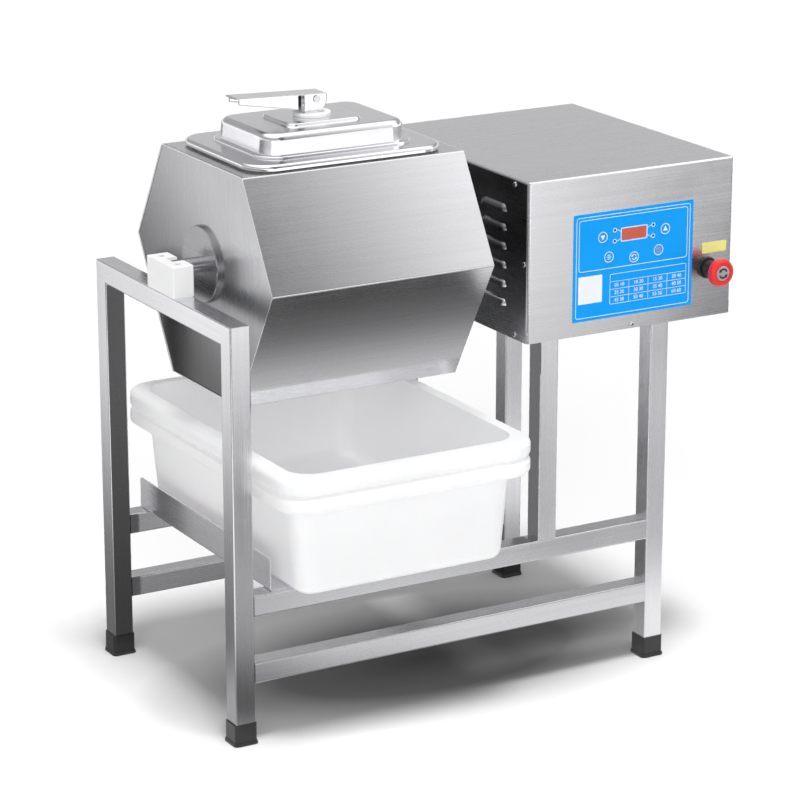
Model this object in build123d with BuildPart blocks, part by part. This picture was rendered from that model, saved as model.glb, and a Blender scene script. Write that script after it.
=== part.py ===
from build123d import *
from math import cos, radians, sin, tan
import os

# Meat tumbler: a hexagonal drum on a tube frame, turned by a drive in the cabinet at its right end.
# Millimetres, +Z up. The operator stands at -Y, and the drum's shaft runs along X.
# The origin is on the floor, in the middle of the whole machine's length and depth.

os.makedirs("parts", exist_ok=True)

# Fits and gaps between pieces
running_clearance = 0.05
moving_gap = 0.3
bolt_clearance = 0.1

# Frame of square tube
tube = 35.0
tube_wall = 1.5
tube_corner = 3.0
right_bay = 250.0
frame_depth = 489.0
crossbar_top = 690.0
upper_rail_top = 248.0
lower_rail_top = 135.5

# Foot caps
foot_height = 35.0
foot_base = 6.0
foot_wall = 2.0
foot_lip = 2.0
foot_lip_height = 5.0
foot_scoop = 4.0

# Tubs, and the folded guides they slide on
tub_leg_gap = 17.0
tub_post_gap = 53.0
tub_overhang = 94.0
tub_rim_width = 456.0
tub_rim_length = 616.0
tub_rim_reach = 25.0
tub_lip = 29.0
tub_lip_roll = 11.0
tub_lip_curl = 8.0
tub_height = 178.0
tub_wall = 2.2
tub_floor = 2.5
tub_draft = 5.2
tub_corner = 28.0
tub_rim_corner = 52.0
tub_bottom_round = 18.0
guide_gap = 24.0
guide_height = 54.0
guide_width = 60.0
guide_sheet = 2.0
guide_margin = 8.0
guide_round = 5.0
guide_bend = 4.0

# Drum
drum_offset = 76.0
drum_cabinet_gap = 62.0
drum_axis_height = 727.0
drum_radius = 241.0
drum_top = 168.5
drum_sheet = 2.0
drum_bend = 4.0
end_plate = 3.0
end_inset = 1.5
end_chamfer = 1.0
hub_radius = 62.5
hub_thickness = 7.5
hub_chamfer = 1.5
stub_radius = 12.5
stub_end_gap = 0.5
stub_chamfer = 1.5
mouth_length = 300.0
mouth_width = 205.0
mouth_corner = 45.0
baffle_length = 340.0
baffle_base = 40.0
baffle_height = 45.0

# Bearing block on the crossbar
block_length = 37.0
block_width = 95.0
block_height = 51.0
block_pocket = 20.0
block_round = 2.0
block_screw_spacing = 60.0
screw_radius = 3.0
screw_head_radius = 5.0
screw_head_height = 6.0
screw_head_sink = 8.0
screw_reach = 8.0

# Lid of the drum, as heights above the drum's flat top
gasket_inset = 6.0
gasket_width = 14.0
lid_length = 352.0
lid_width = 276.0
lid_corner = 45.0
lid_skirt = 3.3
lid_flange_top = 12.5
lid_flange_round = 6.0
lid_sheet = 1.5
bead_margin = 10.0
bead_rise = 3.5
bead_round = 2.5
dome_length = 259.5
dome_width = 188.5
dome_corner = 32.0
dome_rise = 33.0
dome_taper = 6.0
dome_round = 11.0
platform_length = 136.0
platform_width = 104.0
platform_corner = 16.0
platform_rise = 4.2
platform_taper = 30.0
platform_round = 2.5

# Cam lever clamp
washer_radius = 31.0
washer_thickness = 6.0
washer_round = 1.5
lever_width = 36.0
lever_reach = 144.0
lever_wall_start = 139.0
lever_wall_end = 32.7
lever_sheet = 2.3
lever_tip_rise = 15.0
lever_head_rise = 8.6
lever_tip_edge = 3.5
lever_root_edge = 15.0
lever_head_round = 2.0
cam_radius = 20.5
cam_throw = 4.0
pin_radius = 3.0
pin_head_radius = 6.0
pin_head_thickness = 2.0
eye_radius = 6.0
eye_width = 12.0
spindle_radius = 5.0
bar_length = 240.0
bar_width = 30.0
bar_thickness = 10.0
bar_gap = 0.5
spindle_tail = 6.0

# Cabinet
cabinet_lead = 25.0
cabinet_length = 396.0
cabinet_axis_drop = 139.0
cabinet_height = 267.0
sheet = 1.5
cabinet_bend = 3.5
flange = 16.0
panel_margin = 4.0
base_flange = 20.0
louvre_count = 6
louvre_length = 78.0
louvre_start = 64.0
louvre_top = 207.0
louvre_pitch = 31.4
louvre_radius = 13.0
louvre_sink = 5.0

# Drive inside the cabinet
drive_radius = 12.5
drive_reach_out = 30.0
drive_reach_in = 40.0
bearing_flange = 72.0
bearing_flange_thickness = 6.0
bearing_boss_radius = 25.0
bearing_boss_length = 16.0
panel_shaft_gap = 4.0
bracket_offset = 30.0
bracket_plate = 4.0
bracket_width = 120.0
bracket_margin = 60.0
bracket_foot_length = 90.0
bracket_hole_radius = 20.0
gearbox_width = 90.0
gearbox_length = 65.0
gearbox_round = 6.0
motor_radius = 44.0
motor_length = 150.0
motor_cap = 16.0
motor_cap_radius = 40.0
motor_terminal_length = 60.0
motor_terminal_width = 46.0
motor_terminal_rise = 22.0
coupling_radius = 24.0
coupling_length = 40.0
coupling_overlap = 24.0
tang_width = 12.0
tang_length = 12.0
tang_span = 36.0
drum_drive_radius = 16.0

# Control panel on the cabinet's front, measured from the cabinet's lower left corner
overlay_start = 85.0
overlay_length = 233.0
overlay_bottom = 24.0
overlay_height = 179.0
overlay_thickness = 0.8
overlay_corner = 1.5
display_start = 178.0
display_length = 47.0
display_bottom = 151.5
display_height = 18.5
display_corner = 1.0
display_thickness = 1.2
window_gap = 0.2
key_radius = 9.2
key_rise = 0.7
key_round = 0.4
key_lift = 0.65
key_stem_radius = 2.5
key_switch_gap = 0.7
key_places = {
    "key_down": (140.5, 161.0),
    "key_up": (262.5, 160.5),
    "key_left": (153.0, 126.5),
    "key_middle": (202.0, 120.5),
    "key_right": (250.0, 126.5),
}
board_depth = 16.0
board_thickness = 1.6
board_margin = 14.0
board_standoff_radius = 3.5
switch_size = 8.0
switch_height = 6.0

# Emergency stop
stop_offset = 347.5
stop_height = 84.0
stop_head_radius = 23.3
stop_head_front = 48.0
stop_head_depth = 17.0
stop_head_round = 6.0
stop_neck_radius = 14.0
stop_collar_base_radius = 18.0
stop_collar_base = 5.0
stop_collar_radius = 14.0
stop_collar_length = 23.0
stop_thread_radius = 11.0
stop_thread_length = 14.0
stop_stem_radius = 6.0
contact_width = 30.0
contact_height = 44.0
contact_depth = 34.0

# Power supply and the cable gland at the back
supply_length = 110.0
supply_width = 85.0
supply_height = 45.0
supply_end_gap = 22.0
supply_back_gap = 74.0
gland_end_gap = 72.0
gland_rise = 52.0
gland_radius = 11.0
gland_flange_radius = 14.0
gland_flange = 6.0
gland_length = 24.0
gland_bore = 4.5
gland_tail = 10.0
gland_tail_radius = 8.0

# Places that follow from the sizes above
tub_centre_offset = tube + tub_leg_gap + tub_rim_width / 2
post_offset = tub_centre_offset + tub_rim_width / 2 + tub_post_gap
frame_length = post_offset + right_bay
cabinet_offset = post_offset - cabinet_lead
drum_length = cabinet_offset - drum_cabinet_gap - drum_offset
foot_overhang = foot_wall + foot_lip
louvre_rise = louvre_radius - louvre_sink
right_extent = cabinet_offset + cabinet_length + sheet + louvre_rise
left_face = (foot_overhang - right_extent) / 2
front_face = tub_overhang - tub_rim_length / 2
back_face = front_face + frame_depth
left_leg_x = left_face + tube / 2
right_leg_x = left_face + frame_length - tube / 2
post_x = left_face + post_offset + tube / 2
front_leg_y = front_face + tube / 2
back_leg_y = back_face - tube / 2
rail_start = left_face + tube
rail_length = frame_length - 2 * tube
cabinet_left = left_face + cabinet_offset
cabinet_right = cabinet_left + cabinet_length
cabinet_x = (cabinet_left + cabinet_right) / 2
cabinet_bottom = drum_axis_height - cabinet_axis_drop
base_top = cabinet_bottom + sheet
tub_x = left_face + tub_centre_offset
tub_wall_width = tub_rim_width - 2 * tub_rim_reach
tub_wall_length = tub_rim_length - 2 * tub_rim_reach
tub_taper = tub_height * tan(radians(tub_draft))
tub_foot_width = tub_wall_width - 2 * tub_taper
tub_foot_length = tub_wall_length - 2 * tub_taper
guide_top = upper_rail_top + guide_sheet
tub_bottom = guide_top + moving_gap
tub_pitch = tub_lip + moving_gap
drum_left = left_face + drum_offset
drum_right = drum_left + drum_length
drum_x = (drum_left + drum_right) / 2
axis_y = (front_face + back_face) / 2
drum_top_z = drum_axis_height + drum_top


def save(piece, name):
    """Label a piece and write its STEP file."""
    piece.part.label = name
    export_step(piece.part, f"parts/{name}.step")


def tube_section():
    """The hollow square section of the frame's tube, drawn in the sketch that is open."""
    bore = tube - 2 * tube_wall
    RectangleRounded(tube, tube, tube_corner)
    RectangleRounded(bore, bore, tube_corner - tube_wall, mode=Mode.SUBTRACT)


def tube_piece(start, direction, length):
    """A straight tube along one axis, cut square at both ends."""
    across = (0, 1, 0) if direction[0] else (1, 0, 0)
    with BuildPart() as piece:
        with BuildSketch(Plane(origin=start, x_dir=across, z_dir=direction)):
            tube_section()
        extrude(amount=length)
    return piece


# Left end of the frame: two legs and a crossbar, mitred into an inverted U
front_mitre = Plane(origin=(left_leg_x, front_face, crossbar_top), z_dir=(0, 1, 1))
back_mitre = Plane(origin=(left_leg_x, back_face, crossbar_top), z_dir=(0, -1, 1))
screw_y = [axis_y - block_screw_spacing / 2, axis_y + block_screw_spacing / 2]

for name, leg_y, mitre in (
    ("front_left_leg", front_leg_y, front_mitre),
    ("back_left_leg", back_leg_y, back_mitre),
):
    with BuildPart() as left_leg:
        with BuildSketch(Plane(origin=(left_leg_x, leg_y, foot_base))):
            tube_section()
        extrude(amount=crossbar_top - foot_base)
        split(bisect_by=mitre, keep=Keep.BOTTOM)
    save(left_leg, name)

with BuildPart() as left_crossbar:
    crossbar_start = (left_leg_x, front_face, crossbar_top - tube / 2)
    with BuildSketch(Plane(origin=crossbar_start, x_dir=(1, 0, 0), z_dir=(0, 1, 0))):
        tube_section()
    extrude(amount=frame_depth)
    split(bisect_by=front_mitre, keep=Keep.TOP)
    split(bisect_by=back_mitre, keep=Keep.TOP)
    with Locations(*[(left_leg_x, y, crossbar_top - tube_wall / 2) for y in screw_y]):
        Cylinder(screw_radius + bolt_clearance, 2 * tube_wall, mode=Mode.SUBTRACT)
save(left_crossbar, "left_crossbar")

# Right legs, middle posts and rails
for side, leg_y in (("front", front_leg_y), ("back", back_leg_y)):
    leg_length = cabinet_bottom - foot_base
    right_leg = tube_piece((right_leg_x, leg_y, foot_base), (0, 0, 1), leg_length)
    save(right_leg, f"{side}_right_leg")
    post = tube_piece((post_x, leg_y, upper_rail_top), (0, 0, 1), cabinet_bottom - upper_rail_top)
    save(post, f"{side}_mid_post")
    for level, rail_top in (("upper", upper_rail_top), ("lower", lower_rail_top)):
        rail = tube_piece((rail_start, leg_y, rail_top - tube / 2), (1, 0, 0), rail_length)
        save(rail, f"{side}_{level}_rail")

# Foot caps: a flared sole and a sleeve whose sides dip between the corners
sleeve = tube + 2 * foot_wall
for name, foot_x, foot_y in (
    ("front_left_foot", left_leg_x, front_leg_y),
    ("back_left_foot", left_leg_x, back_leg_y),
    ("front_right_foot", right_leg_x, front_leg_y),
    ("back_right_foot", right_leg_x, back_leg_y),
):
    with BuildPart() as foot:
        with BuildSketch(Plane(origin=(foot_x, foot_y, 0))):
            RectangleRounded(sleeve + 2 * foot_lip, sleeve + 2 * foot_lip, tube_corner + foot_overhang)
        extrude(amount=foot_lip_height)
        chamfer(foot.edges().group_by(Axis.Z)[-1], foot_lip_height - foot_wall, foot_lip / 2)
        with BuildSketch(Plane(origin=(foot_x, foot_y, 0))):
            RectangleRounded(sleeve, sleeve, tube_corner + foot_wall)
        extrude(amount=foot_height)
        for turn in (0, 90):
            across = (cos(radians(turn)), sin(radians(turn)), 0)
            along = (-sin(radians(turn)), cos(radians(turn)), 0)
            with BuildSketch(Plane(origin=(foot_x, foot_y, foot_height), x_dir=across, z_dir=along)):
                with BuildLine():
                    scoop_half = sleeve / 2 - foot_wall
                    chord = Line((-scoop_half, 0), (scoop_half, 0))
                    ThreePointArc(chord @ 1, (0, -foot_scoop), chord @ 0)
                make_face()
            extrude(amount=sleeve, both=True, mode=Mode.SUBTRACT)
        with BuildSketch(Plane(origin=(foot_x, foot_y, foot_base))):
            RectangleRounded(tube, tube, tube_corner)
        extrude(amount=foot_height, mode=Mode.SUBTRACT)
    save(foot, name)

# Tub guides: folded strips lying across the upper rails, one the mirror of the other
guide_length = frame_depth - 2 * guide_margin
guide_x = tub_x - tub_foot_width / 2 - guide_gap - guide_sheet
with BuildPart() as left_tub_guide:
    corner = (guide_x, front_face + guide_margin, upper_rail_top)
    with BuildSketch(Plane(origin=corner, x_dir=(1, 0, 0), z_dir=(0, -1, 0))) as guide_section:
        Rectangle(guide_width, guide_sheet, align=(Align.MIN, Align.MIN))
        Rectangle(guide_sheet, guide_height, align=(Align.MIN, Align.MIN))
        inner_corner = guide_section.vertices().sort_by_distance(Vector(guide_sheet, guide_sheet))[0]
        fillet(inner_corner, guide_bend - guide_sheet)
        fillet(guide_section.vertices().sort_by_distance(Vector(0, 0))[0], guide_bend)
    extrude(amount=-guide_length)
    fillet(left_tub_guide.edges().filter_by(Axis.X).group_by(Axis.Z)[-1], guide_round)
save(left_tub_guide, "left_tub_guide")

with BuildPart() as right_tub_guide:
    mirror(left_tub_guide.part, about=Plane.YZ.offset(tub_x))
save(right_tub_guide, "right_tub_guide")


# Tubs: drafted walls, rounded bottom, and a rim rolled outwards, down and in at its lower edge
def tub_piece(bottom):
    """A nesting tub that stands with its outer bottom at a height."""
    top = bottom + tub_height
    inner_rim_width = tub_rim_width - 2 * tub_wall
    inner_rim_length = tub_rim_length - 2 * tub_wall
    with BuildPart() as hollow:
        with BuildSketch(Plane(origin=(tub_x, 0, bottom + tub_floor))):
            shrink = 2 * (tub_wall - tub_taper * tub_floor / tub_height)
            RectangleRounded(tub_foot_width - shrink, tub_foot_length - shrink, tub_corner - tub_wall)
        extrude(amount=tub_height, taper=-tub_draft)
        fillet(hollow.edges().group_by(Axis.Z)[0], tub_bottom_round - tub_wall)
    with BuildPart() as rim_hollow:
        with BuildSketch(Plane(origin=(tub_x, 0, top - tub_lip + tub_wall))):
            RectangleRounded(inner_rim_width, inner_rim_length, tub_rim_corner - tub_wall)
        extrude(amount=tub_lip - 2 * tub_wall)
        fillet(rim_hollow.edges().group_by(Axis.Z)[-1], tub_lip_roll - tub_wall)
        fillet(rim_hollow.edges().group_by(Axis.Z)[0], tub_lip_curl - tub_wall)
        with BuildSketch(Plane(origin=(tub_x, 0, top - tub_lip))):
            slot_width = tub_rim_width - 2 * tub_lip_curl
            slot_length = tub_rim_length - 2 * tub_lip_curl
            RectangleRounded(slot_width, slot_length, tub_rim_corner - tub_lip_curl)
        extrude(amount=tub_lip / 2)
    with BuildPart() as tub:
        with BuildSketch(Plane(origin=(tub_x, 0, top - tub_lip))):
            RectangleRounded(tub_rim_width, tub_rim_length, tub_rim_corner)
        extrude(amount=tub_lip)
        fillet(tub.edges().group_by(Axis.Z)[-1], tub_lip_roll)
        fillet(tub.edges().group_by(Axis.Z)[0], tub_lip_curl)
        add(rim_hollow.part, mode=Mode.SUBTRACT)
        with BuildSketch(Plane(origin=(tub_x, 0, bottom))):
            RectangleRounded(tub_foot_width, tub_foot_length, tub_corner)
        extrude(amount=tub_height - tub_wall / 2, taper=-tub_draft)
        fillet(tub.edges().group_by(Axis.Z)[0], tub_bottom_round)
        add(hollow.part, mode=Mode.SUBTRACT)
    return tub


save(tub_piece(tub_bottom), "lower_tub")
save(tub_piece(tub_bottom + tub_pitch), "upper_tub")

# Drum: a folded hexagonal shell whose top is cut lower and flat, with a mouth in it
half_side = drum_radius / 2
flat_distance = drum_radius * cos(radians(30))
top_half = drum_radius - drum_top * tan(radians(30))
drum_outline = [
    (-half_side, -flat_distance),
    (half_side, -flat_distance),
    (drum_radius, 0),
    (top_half, drum_top),
    (-top_half, drum_top),
    (-drum_radius, 0),
]


def shaft_plane(x, direction=1):
    """A plane across the drum's axis at a place along X, drawn with Y to the right and Z up."""
    return Plane(origin=(x, axis_y, drum_axis_height), x_dir=(0, direction, 0), z_dir=(direction, 0, 0))


with BuildPart() as drum_shell:
    with BuildSketch(shaft_plane(drum_left)) as shell_section:
        Polygon(*drum_outline, align=None)
        fillet(shell_section.vertices(), drum_bend)
        offset(amount=-drum_sheet, mode=Mode.SUBTRACT)
    extrude(amount=drum_length)
    with BuildSketch(Plane(origin=(drum_x, axis_y, drum_top_z))):
        RectangleRounded(mouth_length, mouth_width, mouth_corner)
    extrude(amount=-2 * drum_sheet, mode=Mode.SUBTRACT)
save(drum_shell, "drum_shell")

# End plates set a little inside the shell, with a hub disc welded on each
for side, outer_x, direction in (("left", drum_left, -1), ("right", drum_right, 1)):
    plate_x = outer_x - direction * end_inset
    with BuildPart() as drum_end:
        with BuildSketch(shaft_plane(plate_x, direction)) as end_section:
            Polygon(*drum_outline, align=None)
            fillet(end_section.vertices(), drum_bend)
            offset(amount=-drum_sheet, mode=Mode.REPLACE)
        extrude(amount=-end_plate)
        chamfer(drum_end.faces().sort_by(Axis.X)[0 if direction < 0 else -1].edges(), end_chamfer)
    save(drum_end, f"drum_{side}_end")
    with BuildPart() as hub_disc:
        with BuildSketch(shaft_plane(plate_x, direction)):
            Circle(hub_radius)
        extrude(amount=hub_thickness)
        chamfer(hub_disc.faces().sort_by(Axis.X)[0 if direction < 0 else -1].edges(), hub_chamfer)
    save(hub_disc, f"{side}_hub_disc")

left_hub_face = drum_left + end_inset - hub_thickness
pocket_end = left_face + block_length - block_pocket
right_hub_face = drum_right - end_inset + hub_thickness
with BuildPart() as left_stub_shaft:
    with BuildSketch(shaft_plane(left_hub_face, -1)):
        Circle(stub_radius)
    extrude(amount=left_hub_face - pocket_end - stub_end_gap)
    chamfer(left_stub_shaft.faces().sort_by(Axis.X)[0].edges(), stub_chamfer)
save(left_stub_shaft, "left_stub_shaft")

# Lifting baffles: folded strips inside three faces of the drum
with BuildPart() as drum_baffles:
    for face_angle in (30, 150, 270):
        outward = Vector(cos(radians(face_angle)), sin(radians(face_angle)))
        along_face = Vector(-sin(radians(face_angle)), cos(radians(face_angle)))
        foot_point = outward * (flat_distance - drum_sheet)
        wall_share = 2 * drum_sheet * baffle_height / baffle_base
        with BuildSketch(shaft_plane(drum_x)):
            with BuildLine():
                Polyline(
                    foot_point - along_face * (baffle_base / 2),
                    foot_point + along_face * (baffle_base / 2),
                    foot_point - outward * baffle_height,
                    close=True,
                )
            make_face()
            with BuildLine():
                Polyline(
                    foot_point - along_face * (baffle_base / 2 - drum_sheet),
                    foot_point + along_face * (baffle_base / 2 - drum_sheet),
                    foot_point - outward * (baffle_height - wall_share),
                    close=True,
                )
            make_face(mode=Mode.SUBTRACT)
        extrude(amount=baffle_length / 2, both=True)
save(drum_baffles, "drum_baffles")

# Bearing block with a pocket open at the top and towards the drum, held by two screws
block_top = crossbar_top + block_height
with BuildPart() as bearing_block:
    with BuildSketch(Plane(origin=(left_face, axis_y, crossbar_top))):
        Rectangle(block_length, block_width, align=(Align.MIN, Align.CENTER))
    extrude(amount=block_height)
    fillet(bearing_block.edges().filter_by(Axis.Z), block_round)
    chamfer(bearing_block.edges().group_by(Axis.Z)[-1], block_round / 2)
    with BuildSketch(shaft_plane(left_face + block_length)):
        pocket_radius = stub_radius + running_clearance
        Circle(pocket_radius)
        pocket_top = block_top - drum_axis_height
        Rectangle(2 * pocket_radius, pocket_top, align=(Align.CENTER, Align.MIN))
    extrude(amount=-block_pocket, mode=Mode.SUBTRACT)
    with Locations(*[(left_leg_x, y, block_top) for y in screw_y]):
        CounterBoreHole(
            screw_radius + bolt_clearance,
            screw_head_radius + moving_gap,
            screw_head_sink,
        )
save(bearing_block, "bearing_block")

with BuildPart() as bearing_block_screws:
    with BuildSketch(Plane.XY.offset(block_top - screw_head_sink)):
        with Locations(*[(left_leg_x, y) for y in screw_y]):
            Circle(screw_radius)
    extrude(amount=-(block_height - screw_head_sink + screw_reach))
    with BuildSketch(Plane.XY.offset(block_top - screw_head_sink)):
        with Locations(*[(left_leg_x, y) for y in screw_y]):
            Circle(screw_head_radius)
    extrude(amount=screw_head_height)
save(bearing_block_screws, "bearing_block_screws")


# Lid: one pressed sheet, made as an outer form less the same form drawn in by the sheet
def lid_plane(height):
    """A level plane over the drum's middle, at a height above the drum's flat top."""
    return Plane(origin=(drum_x, axis_y, drum_top_z + height))


bead_top = lid_flange_top + bead_rise
dome_top = bead_top + dome_rise
platform_top = dome_top + platform_rise


def lid_form(inset):
    """The lid's solid form, drawn in on every side by an inset."""
    with BuildPart() as form:
        with BuildSketch(lid_plane(lid_skirt - inset)):
            RectangleRounded(lid_length - 2 * inset, lid_width - 2 * inset, lid_corner - inset)
        extrude(amount=lid_flange_top - lid_skirt)
        fillet(form.edges().group_by(Axis.Z)[-1], lid_flange_round - inset)
        with BuildSketch(lid_plane(lid_flange_top - inset)):
            bead_length = dome_length + 2 * bead_margin - 2 * inset
            bead_width = dome_width + 2 * bead_margin - 2 * inset
            RectangleRounded(bead_length, bead_width, dome_corner + bead_margin - inset)
        extrude(amount=bead_rise)
        fillet(form.edges().group_by(Axis.Z)[-1], bead_round - inset)
        with BuildSketch(lid_plane(bead_top - inset)):
            RectangleRounded(dome_length - 2 * inset, dome_width - 2 * inset, dome_corner - inset)
        extrude(amount=dome_rise, taper=dome_taper)
        fillet(form.edges().group_by(Axis.Z)[-1], dome_round - inset)
        with BuildSketch(lid_plane(dome_top - inset)):
            RectangleRounded(platform_length - 2 * inset, platform_width - 2 * inset, platform_corner - inset)
        extrude(amount=platform_rise, taper=platform_taper)
        fillet(form.edges().group_by(Axis.Z)[-1], platform_round - inset)
    return form


with BuildPart() as lid_pan:
    add(lid_form(0).part)
    add(lid_form(lid_sheet).part, mode=Mode.SUBTRACT)
    with BuildSketch(lid_plane(platform_top)):
        Circle(spindle_radius + moving_gap)
    extrude(amount=-2 * lid_sheet, mode=Mode.SUBTRACT)
save(lid_pan, "lid_pan")

with BuildPart() as lid_gasket:
    with BuildSketch(lid_plane(moving_gap)):
        gasket_length = lid_length - 2 * (lid_sheet + gasket_inset)
        gasket_breadth = lid_width - 2 * (lid_sheet + gasket_inset)
        gasket_corner = lid_corner - lid_sheet - gasket_inset
        RectangleRounded(gasket_length, gasket_breadth, gasket_corner)
        RectangleRounded(
            gasket_length - 2 * gasket_width,
            gasket_breadth - 2 * gasket_width,
            gasket_corner - gasket_width,
            mode=Mode.SUBTRACT,
        )
    extrude(amount=lid_flange_top - lid_sheet - moving_gap)
save(lid_gasket, "lid_gasket")

# Clamp: washer, spindle with a cross bar under the lid, and a cam lever on a pin
washer_bottom = platform_top + moving_gap
washer_top = washer_bottom + washer_thickness
pin_height = washer_top + cam_radius + cam_throw / 2
with BuildPart() as clamp_washer:
    with BuildSketch(lid_plane(washer_bottom)):
        Circle(washer_radius)
        Circle(spindle_radius + moving_gap, mode=Mode.SUBTRACT)
    extrude(amount=washer_thickness)
    fillet(clamp_washer.edges().group_by(Axis.Z)[-1].sort_by(SortBy.LENGTH)[-1], washer_round)
save(clamp_washer, "clamp_washer")

bar_top = -drum_sheet - bar_gap
pin_plane = Plane(origin=(drum_x, axis_y, drum_top_z + pin_height), x_dir=(1, 0, 0), z_dir=(0, -1, 0))
with BuildPart() as clamp_spindle:
    with BuildSketch(lid_plane(pin_height)):
        Circle(spindle_radius)
    extrude(amount=bar_top - bar_thickness - spindle_tail - pin_height)
    with BuildSketch(pin_plane):
        Circle(eye_radius)
    extrude(amount=eye_width / 2, both=True)
    with BuildSketch(pin_plane):
        Circle(pin_radius + running_clearance)
    extrude(amount=eye_width, both=True, mode=Mode.SUBTRACT)
save(clamp_spindle, "clamp_spindle")

with BuildPart() as clamp_bar:
    with BuildSketch(lid_plane(bar_top)):
        SlotOverall(bar_length, bar_width)
        Circle(spindle_radius, mode=Mode.SUBTRACT)
    extrude(amount=-bar_thickness)
save(clamp_bar, "clamp_bar")

# The lever is drawn about its pin, tip towards -X; its cheeks are discs set off centre, squared off where
# they never meet the washer
cam_offset = cam_throw / 2
cheek_radius = cam_radius - moving_gap
head_end = cheek_radius - cam_offset
cheek_back = -cheek_radius - cam_offset
cheek_inner = eye_width / 2 + moving_gap


def plate_height(x):
    """Height of the lever's top face above the pin, sloping up from the head to the tip."""
    share = (head_end - x) / (head_end + lever_reach)
    return lever_head_rise + (lever_tip_rise - lever_head_rise) * share


with BuildPart() as clamp_lever:
    with BuildSketch(pin_plane):
        with Locations((-cam_offset, -cam_offset)):
            Circle(cheek_radius)
        with BuildLine():
            Polyline(
                (cheek_back, plate_height(cheek_back)),
                (cheek_back, cheek_back),
                (-cam_offset, cheek_back),
                (-cam_offset, -cam_offset),
                (head_end, -cam_offset),
                (head_end, plate_height(head_end)),
                close=True,
            )
        make_face()
        with BuildLine():
            above = 2 * cam_radius
            Polyline(
                (-above, plate_height(-above)),
                (above, plate_height(above)),
                (above, above),
                (-above, above),
                close=True,
            )
        make_face(mode=Mode.SUBTRACT)
    extrude(amount=lever_width / 2, both=True)
    with BuildSketch(pin_plane):
        with BuildLine():
            Polyline(
                (-lever_wall_start, plate_height(-lever_wall_start)),
                (-lever_wall_end, plate_height(-lever_wall_end)),
                (-lever_wall_end, -lever_root_edge),
                (-lever_wall_start, lever_tip_edge),
                close=True,
            )
        make_face()
    extrude(amount=lever_width / 2, both=True)
    with BuildSketch(pin_plane):
        Rectangle(4 * lever_reach, 4 * lever_reach)
    extrude(amount=cheek_inner, both=True, mode=Mode.SUBTRACT)
    arm_middle = -(lever_wall_start + lever_wall_end) / 2
    arm_span = lever_wall_start - lever_wall_end
    with BuildSketch(pin_plane):
        with Locations((arm_middle, 0)):
            Rectangle(arm_span, 4 * cam_radius)
    extrude(amount=lever_width / 2 - lever_sheet, both=True, mode=Mode.SUBTRACT)
    with BuildSketch(pin_plane):
        with BuildLine():
            Polyline(
                (-lever_reach, plate_height(-lever_reach)),
                (head_end, plate_height(head_end)),
                (head_end, plate_height(head_end) - lever_sheet),
                (-lever_reach, plate_height(-lever_reach) - lever_sheet),
                close=True,
            )
        make_face()
    extrude(amount=lever_width / 2, both=True)
    with BuildSketch(pin_plane):
        Circle(pin_radius)
    extrude(amount=lever_width, both=True, mode=Mode.SUBTRACT)
    head_corner = pin_plane.from_local_coords((head_end, plate_height(head_end), 0))
    fillet(clamp_lever.edges().filter_by(Axis.Y).sort_by_distance(head_corner)[0], lever_head_round)
save(clamp_lever, "clamp_lever")

with BuildPart() as clamp_pin:
    with BuildSketch(pin_plane):
        Circle(pin_radius)
    extrude(amount=lever_width / 2, both=True)
    for side in (-1, 1):
        with BuildSketch(pin_plane.offset(side * lever_width / 2)):
            Circle(pin_head_radius)
        extrude(amount=side * pin_head_thickness)
save(clamp_pin, "clamp_pin")


# Cabinet cover: front, top and back in one wrap, with flanges turned in at both ends
def front_plane(x, z, depth=0.0):
    """A plane on the cabinet's front, x and z from its lower left corner; it looks out at -Y."""
    origin = (cabinet_left + x, front_face + depth, cabinet_bottom + z)
    return Plane(origin=origin, x_dir=(1, 0, 0), z_dir=(0, -1, 0))


stop_plane = front_plane(stop_offset, stop_height)
gland_x = cabinet_right - gland_end_gap
gland_centre = (gland_x, back_face, cabinet_bottom + gland_rise)
gland_plane = Plane(origin=gland_centre, x_dir=(-1, 0, 0), z_dir=(0, 1, 0))
with BuildPart() as cabinet_cover:
    with BuildSketch(Plane(origin=(cabinet_x, axis_y, cabinet_bottom))):
        Rectangle(cabinet_length, frame_depth)
    extrude(amount=cabinet_height)
    fillet(cabinet_cover.edges().filter_by(Axis.Z), cabinet_bend)
    fillet(cabinet_cover.edges().group_by(Axis.Z)[-1], cabinet_bend)
    offset(amount=-sheet, openings=cabinet_cover.faces().sort_by(Axis.Z)[0])
    end_opening = Plane(origin=(cabinet_left, axis_y, cabinet_bottom), x_dir=(0, 1, 0), z_dir=(1, 0, 0))
    with BuildSketch(end_opening):
        Rectangle(
            frame_depth - 2 * flange,
            cabinet_height - flange,
            align=(Align.CENTER, Align.MIN),
        )
    extrude(amount=cabinet_length, mode=Mode.SUBTRACT)
    with BuildSketch(end_opening):
        Rectangle(frame_depth - 2 * sheet, base_flange + sheet, align=(Align.CENTER, Align.MIN))
    extrude(amount=cabinet_length, mode=Mode.SUBTRACT)
    with BuildSketch(front_plane(0, 0)):
        with Locations(*key_places.values()):
            Circle(key_stem_radius + moving_gap)
        with Locations((stop_offset, stop_height)):
            Circle(stop_thread_radius)
    extrude(amount=-2 * sheet, mode=Mode.SUBTRACT)
    with BuildSketch(gland_plane):
        Circle(gland_tail_radius)
    extrude(amount=-2 * sheet, mode=Mode.SUBTRACT)
save(cabinet_cover, "cabinet_cover")

# Cabinet base: a tray whose upturned sides close the cover's open bottom
with BuildPart() as cabinet_base:
    with BuildSketch(Plane(origin=(cabinet_x, axis_y, cabinet_bottom))):
        Rectangle(cabinet_length, frame_depth - 2 * sheet)
    extrude(amount=base_flange)
    with BuildSketch(Plane(origin=(cabinet_x, axis_y, base_top))):
        Rectangle(cabinet_length - 2 * sheet, frame_depth - 4 * sheet)
    extrude(amount=base_flange, mode=Mode.SUBTRACT)
save(cabinet_base, "cabinet_base")

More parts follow.
